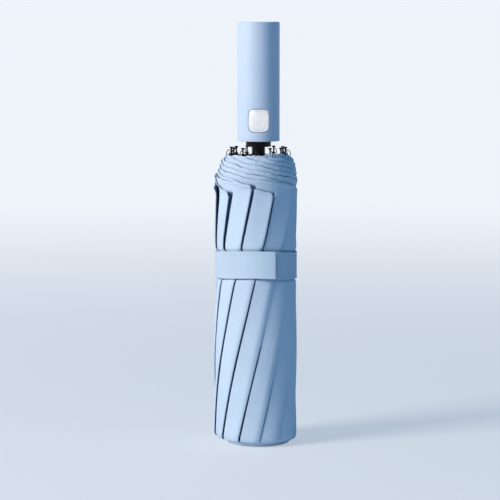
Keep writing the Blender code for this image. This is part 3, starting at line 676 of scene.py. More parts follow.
# Crown cap
def make_cap(finish):
    profile = quarter_round(CAP_RADIUS, 0.0, CAP_EDGE)
    profile += [
        (CAP_RADIUS, CAP_GROOVE_HEIGHT - CAP_GROOVE),
        (CAP_RADIUS - CAP_GROOVE, CAP_GROOVE_HEIGHT),
        (CAP_RADIUS, CAP_GROOVE_HEIGHT + CAP_GROOVE),
    ]
    profile += quarter_round(CAP_RADIUS, CAP_HEIGHT, CAP_BEVEL, top=True)
    profile += [(BOSS_RADIUS, CAP_HEIGHT), (BOSS_RADIUS, BOSS_TOP)]
    points, faces = skin([circle(radius, height, ROUND_STEPS) for radius, height in profile])
    cap = mesh_object("crown_cap_fine", points, faces, finish, sharp=True)
    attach(cap, "crown_and_shaft")
    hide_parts("crown_cap")


# Grip and button
def outline_place(across, up, half_width, half_height):
    """Where a ray from the middle, through a place on a square's edge, meets the button's soft outline."""
    reach = (abs(across) ** BUTTON_POWER + abs(up) ** BUTTON_POWER) ** (-1 / BUTTON_POWER)
    return across * reach * half_width, up * reach * half_height


def square_places(side_steps, end_steps):
    """Places round a square's edge from its lower left corner, counted to match a grid's cells."""
    places = [(-1 + 2 * step / side_steps, -1.0) for step in range(side_steps)]
    places += [(1.0, -1 + 2 * step / end_steps) for step in range(end_steps)]
    return places + [(-across, -up) for across, up in places]


def add_grip_wall(points, faces, profile, first_row, edge_shares):
    """One side of the grip's wall, from its foot up. Returns the rings of its window and its foot."""
    tiers = []
    for radius, height in profile:
        tiers.append(range(len(points), len(points) + ROUND_STEPS))
        points += circle(radius, height, ROUND_STEPS, start=-math.pi / 2)
    for row, (low, high) in enumerate(zip(tiers, tiers[1:])):
        beside_window = first_row <= row < first_row + GRID_ROWS
        for column, face in enumerate(bridge(low, high)):
            if not beside_window or min(column, ROUND_STEPS - 1 - column) >= GRID_COLUMNS:
                faces.append(face)
    top = tiers[-1]
    faces += [(top[column], top[(column + 1) % ROUND_STEPS], len(points)) for column in range(ROUND_STEPS)]
    points.append((0.0, 0.0, profile[-1][1]))
    # from the border of the grid that is left open, rings lead in to the window's soft outline
    half_width = BUTTON_HALF_WIDTH + WINDOW_GAP
    half_height = BUTTON_HALF_HEIGHT + WINDOW_GAP
    places = square_places(2 * GRID_COLUMNS, GRID_ROWS)
    ring = []
    for across, up in places:
        row = first_row + round((up + 1) / 2 * GRID_ROWS)
        ring.append(tiers[row][round(across * GRID_COLUMNS)])
    radius = profile[first_row][0]
    grid = [points[place] for place in ring]
    for share, rounded in edge_shares:
        depth = rounded * WINDOW_ROUNDING
        following = range(len(points), len(points) + len(ring))
        for (across, up), (grid_x, _, grid_z) in zip(places, grid):
            x, z = outline_place(across, up, half_width, half_height)
            x = between(x, grid_x, share)
            z = between(BUTTON_MIDDLE + z, grid_z, share)
            points.append((x, -math.sqrt((radius - depth) ** 2 - x**2), z))
        faces += bridge(ring, following)
        ring = following
    return ring, tiers[0]


def make_grip(finish):
    """The grip as one closed shell with the button's window, whose edge is slightly rounded."""
    grid_foot = BUTTON_MIDDLE - GRID_HEIGHT / 2
    grid = [grid_foot + GRID_HEIGHT * row / GRID_ROWS for row in range(GRID_ROWS + 1)]
    above = [between(grid[-1], GRIP_TOP - GRIP_EDGE, share) for share in GRIP_ROW_SHARES]
    outside = quarter_round(GRIP_RADIUS, GRIP_FOOT, GRIP_FOOT_EDGE)
    outside += [(GRIP_RADIUS, height) for height in grid + above]
    outside += quarter_round(GRIP_RADIUS, GRIP_TOP, GRIP_EDGE, top=True)
    outside += [(GRIP_RADIUS * share, GRIP_TOP) for share in END_FACE_SHARES]
    roof = GRIP_TOP - GRIP_ROOF
    inside = [(GRIP_BORE, height) for height in [GRIP_FOOT, *grid, *above[:-1], roof]]
    inside += [(GRIP_BORE * share, roof) for share in END_FACE_SHARES]
    points, faces = [], []
    outer_rings = add_grip_wall(points, faces, outside, ROUNDING_STEPS + 1, WINDOW_EDGE_SHARES)
    inner_rings = add_grip_wall(points, faces, inside, 1, WINDOW_BACK_SHARES)
    for outer, inner in zip(outer_rings, inner_rings):
        faces += bridge(outer, inner)
    grip = mesh_object("grip_shell", points, faces, finish, sharp=True)
    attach(grip, "handle")
    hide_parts("handle_grip")


def button_ring(inset, radius, scale=1.0, flat=False):
    """One ring of the button, drawn in from its outline, on the grip's curve or flat behind it."""
    half_width = (BUTTON_HALF_WIDTH - inset) * scale
    half_height = (BUTTON_HALF_HEIGHT - inset) * scale
    ring = []
    for across, up in square_places(BUTTON_STEPS, BUTTON_STEPS):
        x, z = outline_place(across, up, half_width, half_height)
        y = -radius if flat else -math.sqrt(radius**2 - x**2)
        ring.append((x, y, BUTTON_MIDDLE + z))
    return ring


def stem_ring(depth):
    ring = []
    for across, up in square_places(BUTTON_STEPS, BUTTON_STEPS):
        reach = STEM_RADIUS / math.hypot(across, up)
        ring.append((across * reach, -depth, BUTTON_MIDDLE + up * reach))
    return ring


def make_button(finish):
    """A chrome cap with a raised rim and a fine step round its slightly domed middle."""
    face_radius = -BUTTON_LOW[1]
    rings = [
        stem_ring(-BUTTON_HIGH[1]),
        stem_ring(COLLAR_BACK),
        button_ring(-COLLAR_REACH, COLLAR_BACK, flat=True),
        button_ring(-COLLAR_REACH, COLLAR_FRONT, flat=True),
        button_ring(0.0, COLLAR_FRONT, flat=True),
    ]
    rings += [button_ring(inset, face_radius + rise) for inset, rise in BUTTON_FACE]
    inset, rise = BUTTON_FACE[-1]
    for share in DOME_SHARES:
        rings.append(button_ring(inset, face_radius + rise + BUTTON_DOME * (1 - share), share))
    points, faces = skin(rings)
    button = mesh_object("button_chrome", points, faces, finish, sharp=True)
    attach(button, "push_button")
    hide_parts("push_button")


# End ribs
def section(middle, height, half_depth, half_width, power):
    """One level ring of a rib, between a rounded square and a circle."""
    ring = []
    for step in range(SECTION_STEPS):
        turn = math.tau * (step + 0.5) / SECTION_STEPS
        across, out = math.sin(turn), math.cos(turn)
        reach = (abs(across) ** power + abs(out) ** power) ** (-1 / power)
        ring.append((middle + half_depth * out * reach, half_width * across * reach, height))
    return ring


def hook_rings(middle):
    """The wire hook that holds the canopy's corner to the tip, bent out of its waist over the hem."""
    rings = []
    side = Vector((0.0, 1.0, 0.0))
    for place, (out, up) in enumerate(HOOK_PLACES):
        before = HOOK_PLACES[max(place - 1, 0)]
        after = HOOK_PLACES[min(place + 1, len(HOOK_PLACES) - 1)]
        along = Vector((after[0] - before[0], 0.0, after[1] - before[1])).normalized()
        centre = Vector((middle + out, 0.0, up))
        rings.append(wire_ring(centre, side, side.cross(along), HOOK_RADIUS, HOOK_SIDES))
    return rings


def cut_away(piece, cutter):
    """The mesh of one object with the other cut out of it. Both objects go."""
    cut = piece.modifiers.new("cut", "BOOLEAN")
    cut.operation = "DIFFERENCE"
    cut.object = cutter
    cut.solver = "EXACT"
    graph = bpy.context.evaluated_depsgraph_get()
    result = bpy.data.meshes.new_from_object(piece.evaluated_get(graph))
    for thing in (piece, cutter):
        bpy.data.objects.remove(thing, do_unlink=True)
    return result


def end_rib_mesh():
    """A rounded bar from its eye at the elbow up to a round spool-shaped tip."""
    lean = (TIP_RADIUS - ELBOW_RADIUS) / ((TIP_FOOT + TIP_TOP) / 2 - ELBOW_HEIGHT)
    middle = TIP_RADIUS - ELBOW_RADIUS
    foot = TIP_FOOT - ELBOW_HEIGHT
    top = TIP_TOP - ELBOW_HEIGHT
    round_end = [(share, math.sqrt(1 - share**2)) for share in ROUND_END_SHARES]
    places = [(RIB_HALF_DEPTH * up, RIB_HALF_DEPTH * out) for up, out in round_end]
    places += [(foot * share, RIB_HALF_DEPTH) for share in BAR_SHARES]
    rings = [section(lean * height, height, depth, RIB_HALF_WIDTH, RIB_POWER) for height, depth in places]
    edge = SPOOL_ROUNDING
    flange = [
        (SPOOL_RADIUS - edge, 0.0),
        (SPOOL_RADIUS, edge),
        (SPOOL_RADIUS, SPOOL_FLANGE - edge),
        (SPOOL_RADIUS - edge, SPOOL_FLANGE),
        (SPOOL_WAIST + edge, SPOOL_FLANGE + 2 * edge),
        (SPOOL_WAIST, SPOOL_FLANGE + 4 * edge),
    ]
    spool = [(RIB_HALF_WIDTH, foot)] + [(radius, foot + up) for radius, up in flange]
    spool += [(radius, top - up) for radius, up in flange[::-1]] + [(SPOOL_WAIST, top)]
    rings += [section(middle, height, radius, radius, 2) for radius, height in spool]
    eye = circle(EYE_RADIUS, 0.0, SECTION_STEPS)
    eye_rings = [[(x, side * 2 * RIB_HALF_WIDTH, z) for x, z, _ in eye] for side in (-1, 1)]
    things = []
    for name, shell in (("end_rib_fine", rings), ("eye", eye_rings)):
        mesh = new_mesh(name, *skin(shell))
        face_outwards(mesh)
        things.append(new_object(name, mesh))
    mesh = cut_away(*things)
    face_outwards(mesh, new_mesh("hook", *skin(hook_rings(middle))))
    return mesh


def make_end_ribs(finish):
    mesh = end_rib_mesh()
    finish_mesh(mesh, finish, sharp=True)
    for rib in range(RIB_COUNT):
        azimuth = RIB_START + math.tau * rib / RIB_COUNT
        piece = new_object(f"end_rib_fine_{rib + 1:02d}", mesh)
        piece.location = (ELBOW_RADIUS * math.cos(azimuth), ELBOW_RADIUS * math.sin(azimuth), ELBOW_HEIGHT)
        piece.rotation_euler = (0, 0, azimuth)
        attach(piece, f"end_rib_{rib + 1:02d}")
        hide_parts(f"end_rib_{rib + 1:02d}")


# Folded canopy
def twist(height):
    """The azimuth of the first pleat's free edge at a height. The pleats climb towards +X at the front."""
    height = np.asarray(height, float)
    below = np.clip((STRAP_MIDDLE - height) / (STRAP_MIDDLE - CLOTH_FOOT), 0, None)
    above = np.clip((height - STRAP_MIDDLE) / (CLOTH_TOP - STRAP_MIDDLE), 0, None)
    return PLEAT_EDGE_AT_STRAP - TWIST_BELOW_STRAP * below + TWIST_ABOVE_STRAP * above


def azimuth_at(pleat, height):
    """The azimuth at a place that is counted in pleats, whole numbers being the free edges."""
    swing = np.sin((np.asarray(pleat, float) + 1) * PLEAT_ANGLE)
    uneven = UNEVEN_PLEATS * swing * np.abs(swing) ** 0.5
    return twist(height) + PLEAT_ANGLE * pleat + uneven * smooth_share(height, *UNEVEN_HEIGHTS)


def crest_radius(height):
    """The bundle's outline: rounded at its foot, drawn in under the strap and sloping in at the hem."""
    places = [(up, CLOTH_RADIUS - inwards) for up, inwards in LOWER_OUTLINE]
    for up, out in SHOULDER_SHARES:
        places.append((between(SHOULDER_FOOT, CLOTH_TOP, up), between(HEM_RADIUS, CLOTH_RADIUS, out)))
    return np.interp(height, *zip(*places))


def apart(azimuth, middle):
    """The turn between two azimuths, half a turn at most either way."""
    return (azimuth - middle + math.pi) % math.tau - math.pi


def nearness(azimuth, middle, width):
    """1 at a place round the bundle, falling to nothing some widths away from it."""
    return bell_share(apart(azimuth, middle), 0.0, width)


def strap_drop(azimuth):
    """How much lower than in front the strap sits here."""
    return STRAP_DROP * smooth_share(np.abs(apart(azimuth, STRAP_FRONT)), 0.0, STRAP_DROP_REACH)


def sunk(arm, layer, height):
    """How far the cloth's rows are lowered here, to follow the strap and the foot's droop beside the cap."""
    azimuth = azimuth_at(arm - layer, STRAP_MIDDLE)
    foot_azimuth = azimuth_at(arm - layer, CLOTH_FOOT)
    droop = FOOT_DROOP * (0.5 + 0.5 * np.cos(foot_azimuth - FOOT_DROOP_AZIMUTH))
    droop = droop * (1 - smooth_share(height, *FOOT_DROOP_HEIGHTS))
    droop = droop * (1 - smooth_share(layer, *FOOT_DROOP_LAYERS))
    return strap_drop(azimuth) * stretch_share(height, *DIP_HEIGHTS) + droop


def wave(arm, layer, along, by_fold):
    """A wave along a fold, at another place on each fold."""
    return np.sin(along * layer + by_fold * arm)


def hem_height(arm, layer):
    """The height of the hem along one fold, from its free corner inwards to the level, puffed top."""
    lift = CORNER_LIFTS[arm % PLEATS] * (1 - smooth_share(layer, *CORNER_LIFT_LAYERS))
    corner = CORNER_CUT * fading_share(layer, CORNER_CUT_LAYERS)
    waves = HEM_WAVE * wave(arm, layer, *HEM_WAVE_TURNS) * smooth_share(layer, *HEM_WAVE_LAYERS)
    waves = waves + HEM_FINE_WAVE * wave(arm, layer, *HEM_FINE_WAVE_TURNS)
    wound = HEM_START + HEM_RISE * layer - HEM_RISE_LOSS * layer**2 + lift - corner + waves
    azimuth = azimuth_at(arm - layer, CLOTH_TOP)
    top = CLOTH_TOP + TOP_LIFT * nearness(azimuth, *TOP_LIFT_PLACE)
    top = top + TOP_RAISE * nearness(azimuth, *TOP_RAISE_PLACE)
    top = top + PUFF * (np.abs(wave(arm, layer, *PUFF_TURNS)) - 0.5)
    return between(wound, top, smooth_share(layer, *TOP_LAYERS))


def hem_under(arm, layer):
    """The hem of the fold that lies over this one, or a place as far down where none does."""
    nominal = HEM_RISE - HEM_RISE_LOSS
    own = hem_height(arm, layer)
    over = hem_height(arm - 1, np.maximum(layer - 1, 0))
    step = hem_height(arm, np.array([1.0])) - hem_height(arm - 1, np.array([0.0]))
    step = between(nominal, step, smooth_share(layer, *HEM_BLEND_LAYERS))
    return np.minimum(np.where(layer >= 1, over, own - step), own - HEM_CLEAR)


def hem_unevenness(arm, layer):
    """How deep the groove over a hem is, and how dark the painted shade line over it, as a share which comes
    and goes along the fold.
    """
    slow, slower = (wave(arm, layer, *turns) for turns in UNEVENNESS_TURNS)
    return 1 + UNEVENNESS_SHARE * slow * slower


def outermost_layer(height):
    """The layer whose hem is at this height, 0 below the hems."""
    up = np.clip(np.asarray(height, float) - HEM_START, 0, None)
    root = np.sqrt(np.clip(HEM_RISE**2 - 4 * HEM_RISE_LOSS * up, 0, None))
    return (HEM_RISE - root) / (2 * HEM_RISE_LOSS)


def stack_depth(layer):
    """How deep a layer lies in the stack, in steps of the pleat's height."""
    inner = (CLOTH_RADIUS - ROOT_RADIUS) / PLEAT_STEP - 1
    return np.where(layer < 1, layer, 1 + inner * (layer - 1) / (LAYERS - 1))


def slit_strength(edge, height):
    """How open the slit at one free edge is at a height, from 0 for a soft crease to 1."""
    at_foot, under_strap, above_strap = SLIT_SHARES[:, edge % PLEATS]
    lower = between(at_foot, under_strap, smooth_share(height, *SLIT_LOWER_HEIGHTS))
    return between(lower, above_strap, smooth_share(height, *SLIT_UPPER_HEIGHTS))


def slit_share(arm, layer, height):
    """How deep the slit beside the next fold's free edge is here, 1 at its deepest."""
    nearest = np.maximum(np.round(layer), 1)
    beside = nearest - layer
    width = SLIT_WIDTH + SLIT_WIDENING * smooth_share(height, *SLIT_WIDENING_HEIGHTS)
    open_side = 1 - smooth_share(beside, width - SLIT_EDGE, width)
    under_side = smooth_share(beside, *SLIT_FLANK_LAYERS)
    edge = arm - nearest.astype(int)
    shut = smooth_share(height - HEM_START - CORNER_LIFTS[edge % PLEATS], *SLIT_SHUT)
    return open_side * under_side * (layer > 0.5) * (1 - shut) * slit_strength(edge, height)


def painted_shade_share(arm, layer, height):
    """Painted shade: 0 where a fold's outer face is open to the light, 1 where it lies deep between the
    folds, in a slit, under a hem or in the line just above one.
    """
    slit = smooth_share(slit_share(arm, layer, height), *PAINTED_SLIT_SHADE_SHARES)
    below_hem = hem_under(arm, layer) - height
    covered = smooth_share(layer, *COVERED_LAYERS)
    hidden = smooth_share(below_hem, *PAINTED_SHADE_DEPTHS) * covered
    # a painted shade line just above each hem that lies over a fold
    line = HEM_LINE_SHADE * hem_unevenness(arm, layer) * covered
    line = line * (1 - smooth_share(-below_hem, *HEM_LINE_DEPTHS))
    return np.maximum(slit, np.maximum(hidden, line))


def cloth_radius(arm, layer, height, hem):
    """The radius of the outer face of one fold, a number of layers in from its free edge."""
    crest = crest_radius(height + sunk(arm, layer, height))
    first = outermost_layer(height)
    room = np.maximum(stack_depth(LAYERS) - stack_depth(first), LEAST_ROOM)
    step = between((crest - ROOT_RADIUS) / room, HEM_STEP, smooth_share(height, *HEM_STEP_HEIGHTS))
    radius = crest - step * (stack_depth(layer) - stack_depth(first))
    # each pleat's face is flatter than the round bundle
    across = layer % 1
    flatter = np.where(crest < CLOTH_RADIUS, WAIST_FACET_SHARE, 1)
    flatter = flatter * (1 - smooth_share(height, *FACET_HEIGHTS))
    inward = np.clip((radius - ROOT_RADIUS) / (CLOTH_RADIUS - ROOT_RADIUS), 0, 1)
    radius = radius - FACET_DROP * flatter * inward * 4 * across * (1 - across)
    # a slit opens beside each free edge
    radius = between(ROOT_RADIUS, radius, 1 - SLIT_SHARE * slit_share(arm, layer, height))
    # the free edge rolls down, crisply above the strap and most softly at a crease below it
    upper = smooth_share(height, *UPPER_HEIGHTS)
    soft = (1 - slit_strength(arm, height)) * (1 - upper)
    roll, drop = (low * (1 - upper) + high * upper + more * soft for low, high, more in EDGE_ROLLS)
    radius = radius - drop * fading_share(layer, roll)
    # and the next pleat dips towards such a crease
    beside = (1 - slit_strength(arm - 1, height)) * (1 - upper)
    radius = radius - CREASE_VALLEY * beside * stretch_share(layer, *CREASE_VALLEY_LAYERS)
    # some free corners curl outwards
    curl = CORNER_CURLS[arm % PLEATS] * smooth_share(height, *CORNER_CURL_HEIGHTS)
    radius = radius + curl * fading_share(layer, CORNER_CURL_LAYERS)
    # above the strap the free edge stands off the next pleat
    mean, swing = EDGE_LIFT_SHARES
    lift = EDGE_LIFT * smooth_share(height, *EDGE_LIFT_HEIGHTS)
    lift = lift * (mean + swing * math.sin(EDGE_LIFT_TURN * arm))
    radius = radius + lift * fading_share(layer, EDGE_LIFT_LAYERS)
    # the hem leans out over the layer outside it, which it leaves in a narrow groove
    flare = HEM_FLARE * fading_share(hem - height, HEM_FLARE_DEPTH, HEM_FLARE_POWER)
    radius = radius + flare * smooth_share(layer, *HEM_FLARE_LAYERS)
    above = height - hem_under(arm, layer)
    groove = HEM_GROOVE * hem_unevenness(arm, layer) * bell_share(above, *HEM_GROOVE_PLACE)
    radius = radius - groove * smooth_share(layer, *HEM_GROOVE_LAYERS)
    # slow waves in the pleats, and small gathers near the hem
    gather = GATHER * fading_share(hem - height, GATHER_DEPTH, 1) * smooth_share(layer, *GATHER_LAYERS)
    slow = rough(arm, layer, height, *RIPPLE_SCALES)
    return radius + (RIPPLE * slow + gather * rough(arm, layer, height, *GATHER_SCALES))


def rough(arm, layer, height, across, by_fold, up):
    """Soft noise at each place of a fold."""
    places = [Vector((x * across, arm * by_fold, z * up)) for x, z in zip(layer, height)]
    return np.array([noise.noise(place) for place in places])


def bulge_at(height):
    """How far the bundle is shifted to the left, most at its foot."""
    lower = between(BULGE_AT_FOOT, BULGE_LEFT, smooth_share(height, *BULGE_LOWER_HEIGHTS))
    return between(lower, BULGE_AT_HEM, smooth_share(height, *BULGE_UPPER_HEIGHTS))


def at_place(pleat, height, radius):
    """The point at a place round the bundle, which bulges a little to the left."""
    azimuth = azimuth_at(pleat, height)
    outward = np.clip((radius - ROOT_RADIUS) / (CLOTH_RADIUS - ROOT_RADIUS), 0, BULGE_REACH_SHARE)
    x = radius * np.cos(azimuth) - bulge_at(height) * outward
    return np.stack([x, radius * np.sin(azimuth), np.broadcast_to(height, x.shape)], axis=-1)


def face_point(arm, layer, height, out=0.0):
    """The points of a fold's outer face at some places and heights, raised a little."""
    radius = cloth_radius(arm, layer, height, hem_height(arm, layer))
    return at_place(arm - layer, height, radius + out)


def row_heights(arm, layer, hem):
    """The heights of the cloth's columns at some places of a fold, from the foot to the hem."""
    under = hem_under(arm, layer)
    rows = [height - sunk(arm, layer, height) for height in LOWER_HEIGHTS]
    groove = [under + offset for offset in GROOVE_OFFSETS]
    top = [hem + offset for offset in HEM_OFFSETS]
    rows += [between(LOWER_HEIGHTS[-1], groove[0], row / MIDDLE_ROWS) for row in range(1, MIDDLE_ROWS)]
    rows += groove
    rows += [between(groove[-1], top[0], row / HEM_ROWS) for row in range(1, HEM_ROWS)]
    return np.array(rows + top)


def arm_columns(arm):
    """The points of one fold: its outer face from the root to the free edge, round, and back inside.

    The first index is the row, from foot to hem, and the second the column."""
    outer, inner, edge = OUTER_LAYERS, INNER_LAYERS, np.array([0.0])
    edge_hem = hem_height(arm, edge)
    inner_hem = hem_height(arm, inner) - HEM_INNER_DROP * smooth_share(inner, *HEM_INNER_LAYERS)
    outer_heights = row_heights(arm, outer, hem_height(arm, outer))
    edge_heights = row_heights(arm, edge, edge_hem)
    inner_heights = row_heights(arm, inner, inner_hem)
    gap = between(FOLD_GAP, CLOTH_GAP, smooth_share(inner, *FOLD_GAP_LAYERS))
    fold_reach = FOLD_ROUNDNESS * FOLD_GAP / (CLOTH_RADIUS * PLEAT_ANGLE)
    rows = []
    shades = []
    for outer_height, height, inner_height in zip(outer_heights, edge_heights, inner_heights):
        parts = [face_point(arm, outer, outer_height)]
        # the fold itself, a half round between the two faces
        start = cloth_radius(arm, edge, height, edge_hem)
        for deep, out in FOLD_SHARES:
            parts.append(at_place(arm + fold_reach * out, height, start - FOLD_GAP * deep))
        radius = cloth_radius(arm, inner, inner_height, inner_hem) - gap
        parts.append(at_place(arm - inner, inner_height, radius))
        root = np.ones(len(ROOT_PLACES))
        parts.append(at_place(arm - LAYERS + ROOT_PLACES, root * inner_height[-1], root * radius[-1]))
        rows.append(np.concatenate(parts))
        # painted shade round the fold, and full painted shade over its inner face
        fold_shades = FOLD_PAINTED_SHADE_SHARES * slit_strength(arm, height)
        inside = np.ones(len(inner) + len(root))
        shades.append(np.concatenate([painted_shade_share(arm, outer, outer_height), fold_shades, inside]))
    return np.array(rows), np.array(shades)


def make_canopy(finish):
    """The cloth as one continuous sheet: twelve folds wound round the bundle, each over the next."""
    grids, shades = zip(*(arm_columns(arm) for arm in range(PLEATS)))
    sheet = np.concatenate(grids, axis=1)
    shades = list(np.concatenate(shades, axis=1).ravel())
    points, faces = tube(sheet)
    step = np.linalg.norm(np.diff(sheet, axis=1, append=sheet[:, :1]), axis=2)
    across = np.concatenate([[0.0], np.cumsum(step[len(sheet) // 2])[:-1]])
    rise = np.linalg.norm(np.diff(sheet, axis=0, prepend=sheet[:1]), axis=2)
    along = np.cumsum(rise, axis=0)
    places = list(np.stack([np.broadcast_to(across, along.shape), along], axis=-1).reshape(-1, 2))
    # the foot: the visible faces turn under and run in to the crown
    per_arm = grids[0].shape[1]
    shown = [column for column, layer in enumerate(OUTER_LAYERS) if layer <= 1.0]
    rim = [arm * per_arm + column for arm in range(PLEATS) for column in shown]
    ring = rim
    for share, up in FOOT_RINGS:
        following = range(len(points), len(points) + len(rim))
        for index in rim:
            x, y, z = points[index]
            lower = (LOWER_HEIGHTS[0] - z) * smooth_share(share * math.hypot(x, y), *FOOT_DROOP_RADII)
            points.append(np.array([x * share, y * share, CLOTH_FOOT + up - lower]))
            places.append(places[index] - np.array([0.0, FOOT_LENGTH * (1 - share)]))
            shades.append(shades[index])
        faces += bridge(following, ring)
        ring = following
    piece = mesh_object("canopy_cloth", points, faces, finish, closed=False)
    set_uv(piece, places)
    set_painted_shade(piece, shades)
    return piece


def make_hem(finish):
    """The rolled hem: a slim closed band along the edge of each fold's outer face."""
    points, faces, places = [], [], []
    layers = np.arange(HEM_BAND_START, LAYERS, HEM_BAND_STEP)
    depth = HEM_BAND_DEPTH * (1 - HEM_BAND_LOSS_SHARE * smooth_share(layers, 1.0, LAYERS))
    for arm in range(PLEATS):
        hem = hem_height(arm, layers)
        stations = []
        for drop, out in HEM_BAND_SHARES:
            height = hem + HEM_BAND_RISE + depth * drop
            radius = cloth_radius(arm, layers, height, hem)
            stations.append(at_place(arm - layers, height, radius + out * HEM_BAND_HALF))
        add_skin(points, faces, [list(ring) for ring in zip(*stations)])
        for layer in layers:
            along = layer * CLOTH_RADIUS * PLEAT_ANGLE
            places += [(along, drop * HEM_BAND_DEPTH) for drop, _ in HEM_BAND_SHARES]
    band = mesh_object("canopy_hem", points, faces, finish)
    set_uv(band, places)
    set_painted_shade(band, np.zeros(len(points)))
    return band


# Stitches
def add_stitch(points, faces, start, end, outward):
    """One arched stitch of thread between two places on the cloth."""
    side = (end - start).normalized().cross(outward).normalized()
    rings = []
    for share, thick, rise in STITCH_SHARES:
        middle = start.lerp(end, share) + outward * (rise * THREAD_RADIUS)
        rings.append(wire_ring(middle, side, outward, thick * THREAD_RADIUS, STITCH_SIDES))
    add_skin(points, faces, rings)


def make_hem_stitches(finish):
    points, faces = [], []
    starts = np.arange(*HEM_STITCH_LAYERS, HEM_STITCH_STEP)
    for arm in range(PLEATS):
        start_points, end_points = (
            face_point(arm, layers, hem_height(arm, layers) - HEM_STITCH_DROP, HEM_BAND_HALF)
            for layers in (starts, starts + HEM_STITCH_LENGTH)
        )
        for start, end in zip(start_points, end_points):
            outward = Vector((start[0], start[1], 0)).normalized()
            add_stitch(points, faces, Vector(start), Vector(end), outward)
    return mesh_object("hem_stitches", points, faces, finish)


# Strap
def strap_section():
    """The band's section as (across, out), across as a share of its half width."""
    face, back = (
        [(across, thick * STRAP_THICKNESS / 2 + bead * STRAP_BEAD) for across, thick, bead in shares]
        for shares in (STRAP_FACE_SHARES, STRAP_BACK_SHARES)
    )
    outer = [(-across, out) for across, out in face[:-1]] + face[::-1]
    return outer + back + [(-across, out) for across, out in back[-2::-1]]


def strap_point(turn, across, out):
    """A point of the band: turn is its azimuth, counted on past a full turn under the tab."""
    radius = STRAP_BORE + STRAP_THICKNESS / 2 + STRAP_LIFT * float(smooth_share(turn, *STRAP_RAMP)) + out
    # the tab is stiffer than the rest and stands off towards its end
    radius += TAB_STRAIGHTNESS * STRAP_BORE * max(turn - TAB_START, 0) ** 2 / 2
    along, wide, other = STRAP_WAVE_SCALES
    soft = noise.noise(Vector((turn * along, across * wide, other))) * STRAP_WAVE
    radius += soft * (1 if out > 0 else STRAP_WAVE_BEHIND_SHARE)
    drift = STRAP_DRIFT * float(bell_share(turn, *STRAP_DRIFT_PLACE)) + float(strap_drop(turn))
    height = STRAP_MIDDLE + across * STRAP_HALF - drift
    height += STRAP_EDGE_WAVE * math.sin(turn * STRAP_EDGE_WAVES) * across
    x = radius * math.cos(turn) - bulge_at(height) * STRAP_BULGE_SHARE
    return Vector((x, radius * math.sin(turn), height))


def make_strap(finish):
    profile = strap_section()
    turns = [between(STRAP_START, STRAP_END, step / STRAP_STEPS) for step in range(STRAP_STEPS + 1)]
    stations = [(turns[0], BAND_END_SHARE, 1.0)] + [(turn, 1.0, 1.0) for turn in turns[1:-TAB_ROWS]]
    stations += [(STRAP_END - back, thick, width) for back, thick, width in TAB_CORNER]
    rings = []
    places = []
    for turn, thick, width in stations:
        rings.append([strap_point(turn, across * width, out * thick) for across, out in profile])
        places += [((turn - STRAP_START) * STRAP_BORE, across * STRAP_HALF) for across, _ in profile]
    points, faces = skin(rings)
    strap = mesh_object("strap_band", points, faces, finish)
    set_uv(strap, places)
    # painted shade over the band, fading out onto the tab
    painted_share = 1 - smooth_share([turn for turn, _, _ in stations], *PAINTED_SHADE_FADE)
    set_painted_shade(strap, np.repeat(PAINTED_BAND_SHADE * painted_share, len(profile)))
    return strap


def make_strap_stitches(finish):
    """Two rows of stitches along the band, and one across the tab's end."""
    points, faces = [], []
    face = STRAP_THICKNESS / 2

    def add(turn, across, next_turn, next_across):
        outward = Vector((math.cos(turn), math.sin(turn), 0))
        start = strap_point(turn, across, face)
        add_stitch(points, faces, start, strap_point(next_turn, next_across, face), outward)

    row = 1 - STRAP_STITCH_INSET / STRAP_HALF
    step = STRAP_STITCH_STEP / STRAP_BORE
    reach = STRAP_STITCH_LENGTH / STRAP_BORE
    last = STRAP_END - STRAP_STITCH_INSET / STRAP_BORE
    for place in range(int((last - STRAP_STITCH_START) / step)):
        turn = last - reach - place * step
        for side in (-row, row):
            add(turn, side, turn + reach, side)
    count = int(2 * row * STRAP_HALF / STRAP_STITCH_STEP)
    for place in range(count):
        low = -row + 2 * row * place / count
        add(last, low, last, low + STRAP_STITCH_LENGTH / STRAP_HALF)
    return mesh_object("strap_stitches", points, faces, finish)


def dress(cloth, band, thread):
    canopy = make_canopy(cloth)
    hem = make_hem(cloth)
    hem_stitches = make_hem_stitches(thread)
    strap = make_strap(band)
    strap_stitches = make_strap_stitches(thread)
    for piece in (canopy, hem, hem_stitches, strap, strap_stitches):
        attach(piece, "crown_and_shaft")
        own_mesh(piece)
    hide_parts("canopy")
    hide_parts("strap")


# Stage, camera and light
def make_camera():
    data = bpy.data.cameras.new("camera")
    data.sensor_width = SENSOR_WIDTH
    data.lens = SENSOR_WIDTH * CAMERA_FOCUS / IMAGE_WIDTH
    camera = new_object("camera", data)
    camera.location = (CAMERA_PAN, -CAMERA_DISTANCE, CAMERA_HEIGHT)
    camera.rotation_euler = (math.pi / 2 - CAMERA_TILT, 0, 0)
    bpy.context.scene.camera = camera


def make_key_light():
    """One soft lamp, high up at the front left."""
    data = bpy.data.lights.new("key", "AREA")
    data.size = KEY_SIZE
    data.energy = KEY_POWER
    data.color = KEY_COLOUR
    light = new_object("key", data)
    light.location = KEY_PLACE
    direction = Vector(LIGHT_TARGET) - light.location
    light.rotation_euler = direction.to_track_quat("-Z", "Y").to_euler()


def make_world():
    """The backdrop's colour where it is seen, and a dim bluish light elsewhere."""
    world = bpy.data.worlds.new("studio")
    bpy.context.scene.world = world
    nodes = Nodes(world)
    lighting = nodes.add("Background", {"Color": (*AMBIENT_COLOUR, 1.0), "Strength": AMBIENT_STRENGTH})
    backdrop = nodes.add("Background", {"Color": (*BACKDROP_COLOUR, 1.0)})
    seen = nodes.any_ray("Is Camera Ray", "Is Transmission Ray", "Is Glossy Ray")
    nodes.add("OutputWorld", {"Surface": nodes.add("MixShader", {0: seen, 1: lighting, 2: backdrop})})


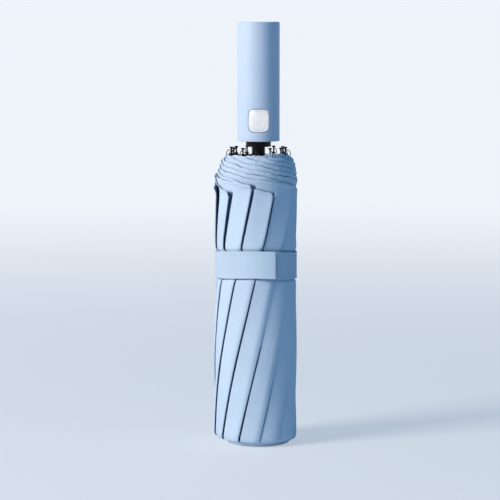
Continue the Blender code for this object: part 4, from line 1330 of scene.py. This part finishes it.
def make_floor():
    """A round pale floor that fades into the backdrop's colour far from the umbrella."""
    material = bpy.data.materials.new("pale_floor")
    nodes = Nodes(material)
    near = nodes.add("BsdfDiffuse", {"Color": (*FLOOR_COLOUR, 1.0)})
    far = nodes.add("Emission", {"Color": (*BACKDROP_COLOUR, 1.0)})
    place = nodes.add("TexCoord").outputs["Object"]
    reach = nodes.add("VectorMath", {0: place}, operation="LENGTH").outputs["Value"]
    span = {"From Min": FLOOR_FADE_START, "From Max": FLOOR_FADE_END, "To Min": FLOOR_FADE_LEAST}
    fade = nodes.add("MapRange", {"Value": reach, **span}, interpolation_type="SMOOTHSTEP")
    seen = nodes.math("MULTIPLY", fade, nodes.any_ray("Is Camera Ray", "Is Glossy Ray"))
    nodes.add("OutputMaterial", {"Surface": nodes.add("MixShader", {0: seen, 1: near, 2: far})})
    rim = circle(FLOOR_REACH, 0.0, FLOOR_STEPS)
    floor = mesh_object("floor", rim, [range(FLOOR_STEPS)], material, closed=False)


def finish_frame_nodes(black, rib, shaft, spring):
    """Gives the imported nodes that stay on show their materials."""
    finishes = {
        ("handle_core", "runner", "crown_notch"): black,
        ("main_rib", "middle_rib", "end_rib", "stretcher"): rib,
        ("outer_tube", "middle_tube", "inner_tube"): shaft,
        ("opening_spring",): spring,
    }
    for name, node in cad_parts.items():
        for starts, finish in finishes.items():
            if not name.startswith(starts):
                continue
            for slot in node.material_slots:
                slot.material = finish
            if not node.material_slots:
                node.data.materials.append(finish)


def main():
    bpy.context.scene.view_settings.view_transform = "Standard"
    make_camera()
    make_world()
    make_key_light()
    make_floor()
    rib = black_metal_material("rib_steel", (0.0070, 0.0075, 0.0090), (0.30, 0.48))
    shaft = black_metal_material("shaft_steel", (0.0060, 0.0062, 0.0075), (0.24, 0.40))
    finish_frame_nodes(black_plastic_material(), rib, shaft, spring_material())
    make_cap(cap_material())
    make_grip(coating_material())
    make_button(chrome_material())
    make_end_ribs(rib)
    cloth = cloth_material("canopy_weave", (0.585, 0.725, 0.88), 0.00032)
    # the strap's cloth is a paler copy of the canopy's: painted light that keeps the tab bright
    band = cloth_material("strap_weave", (0.64, 0.79, 0.93), 0.00040)
    dress(cloth, band, thread_material())


main()
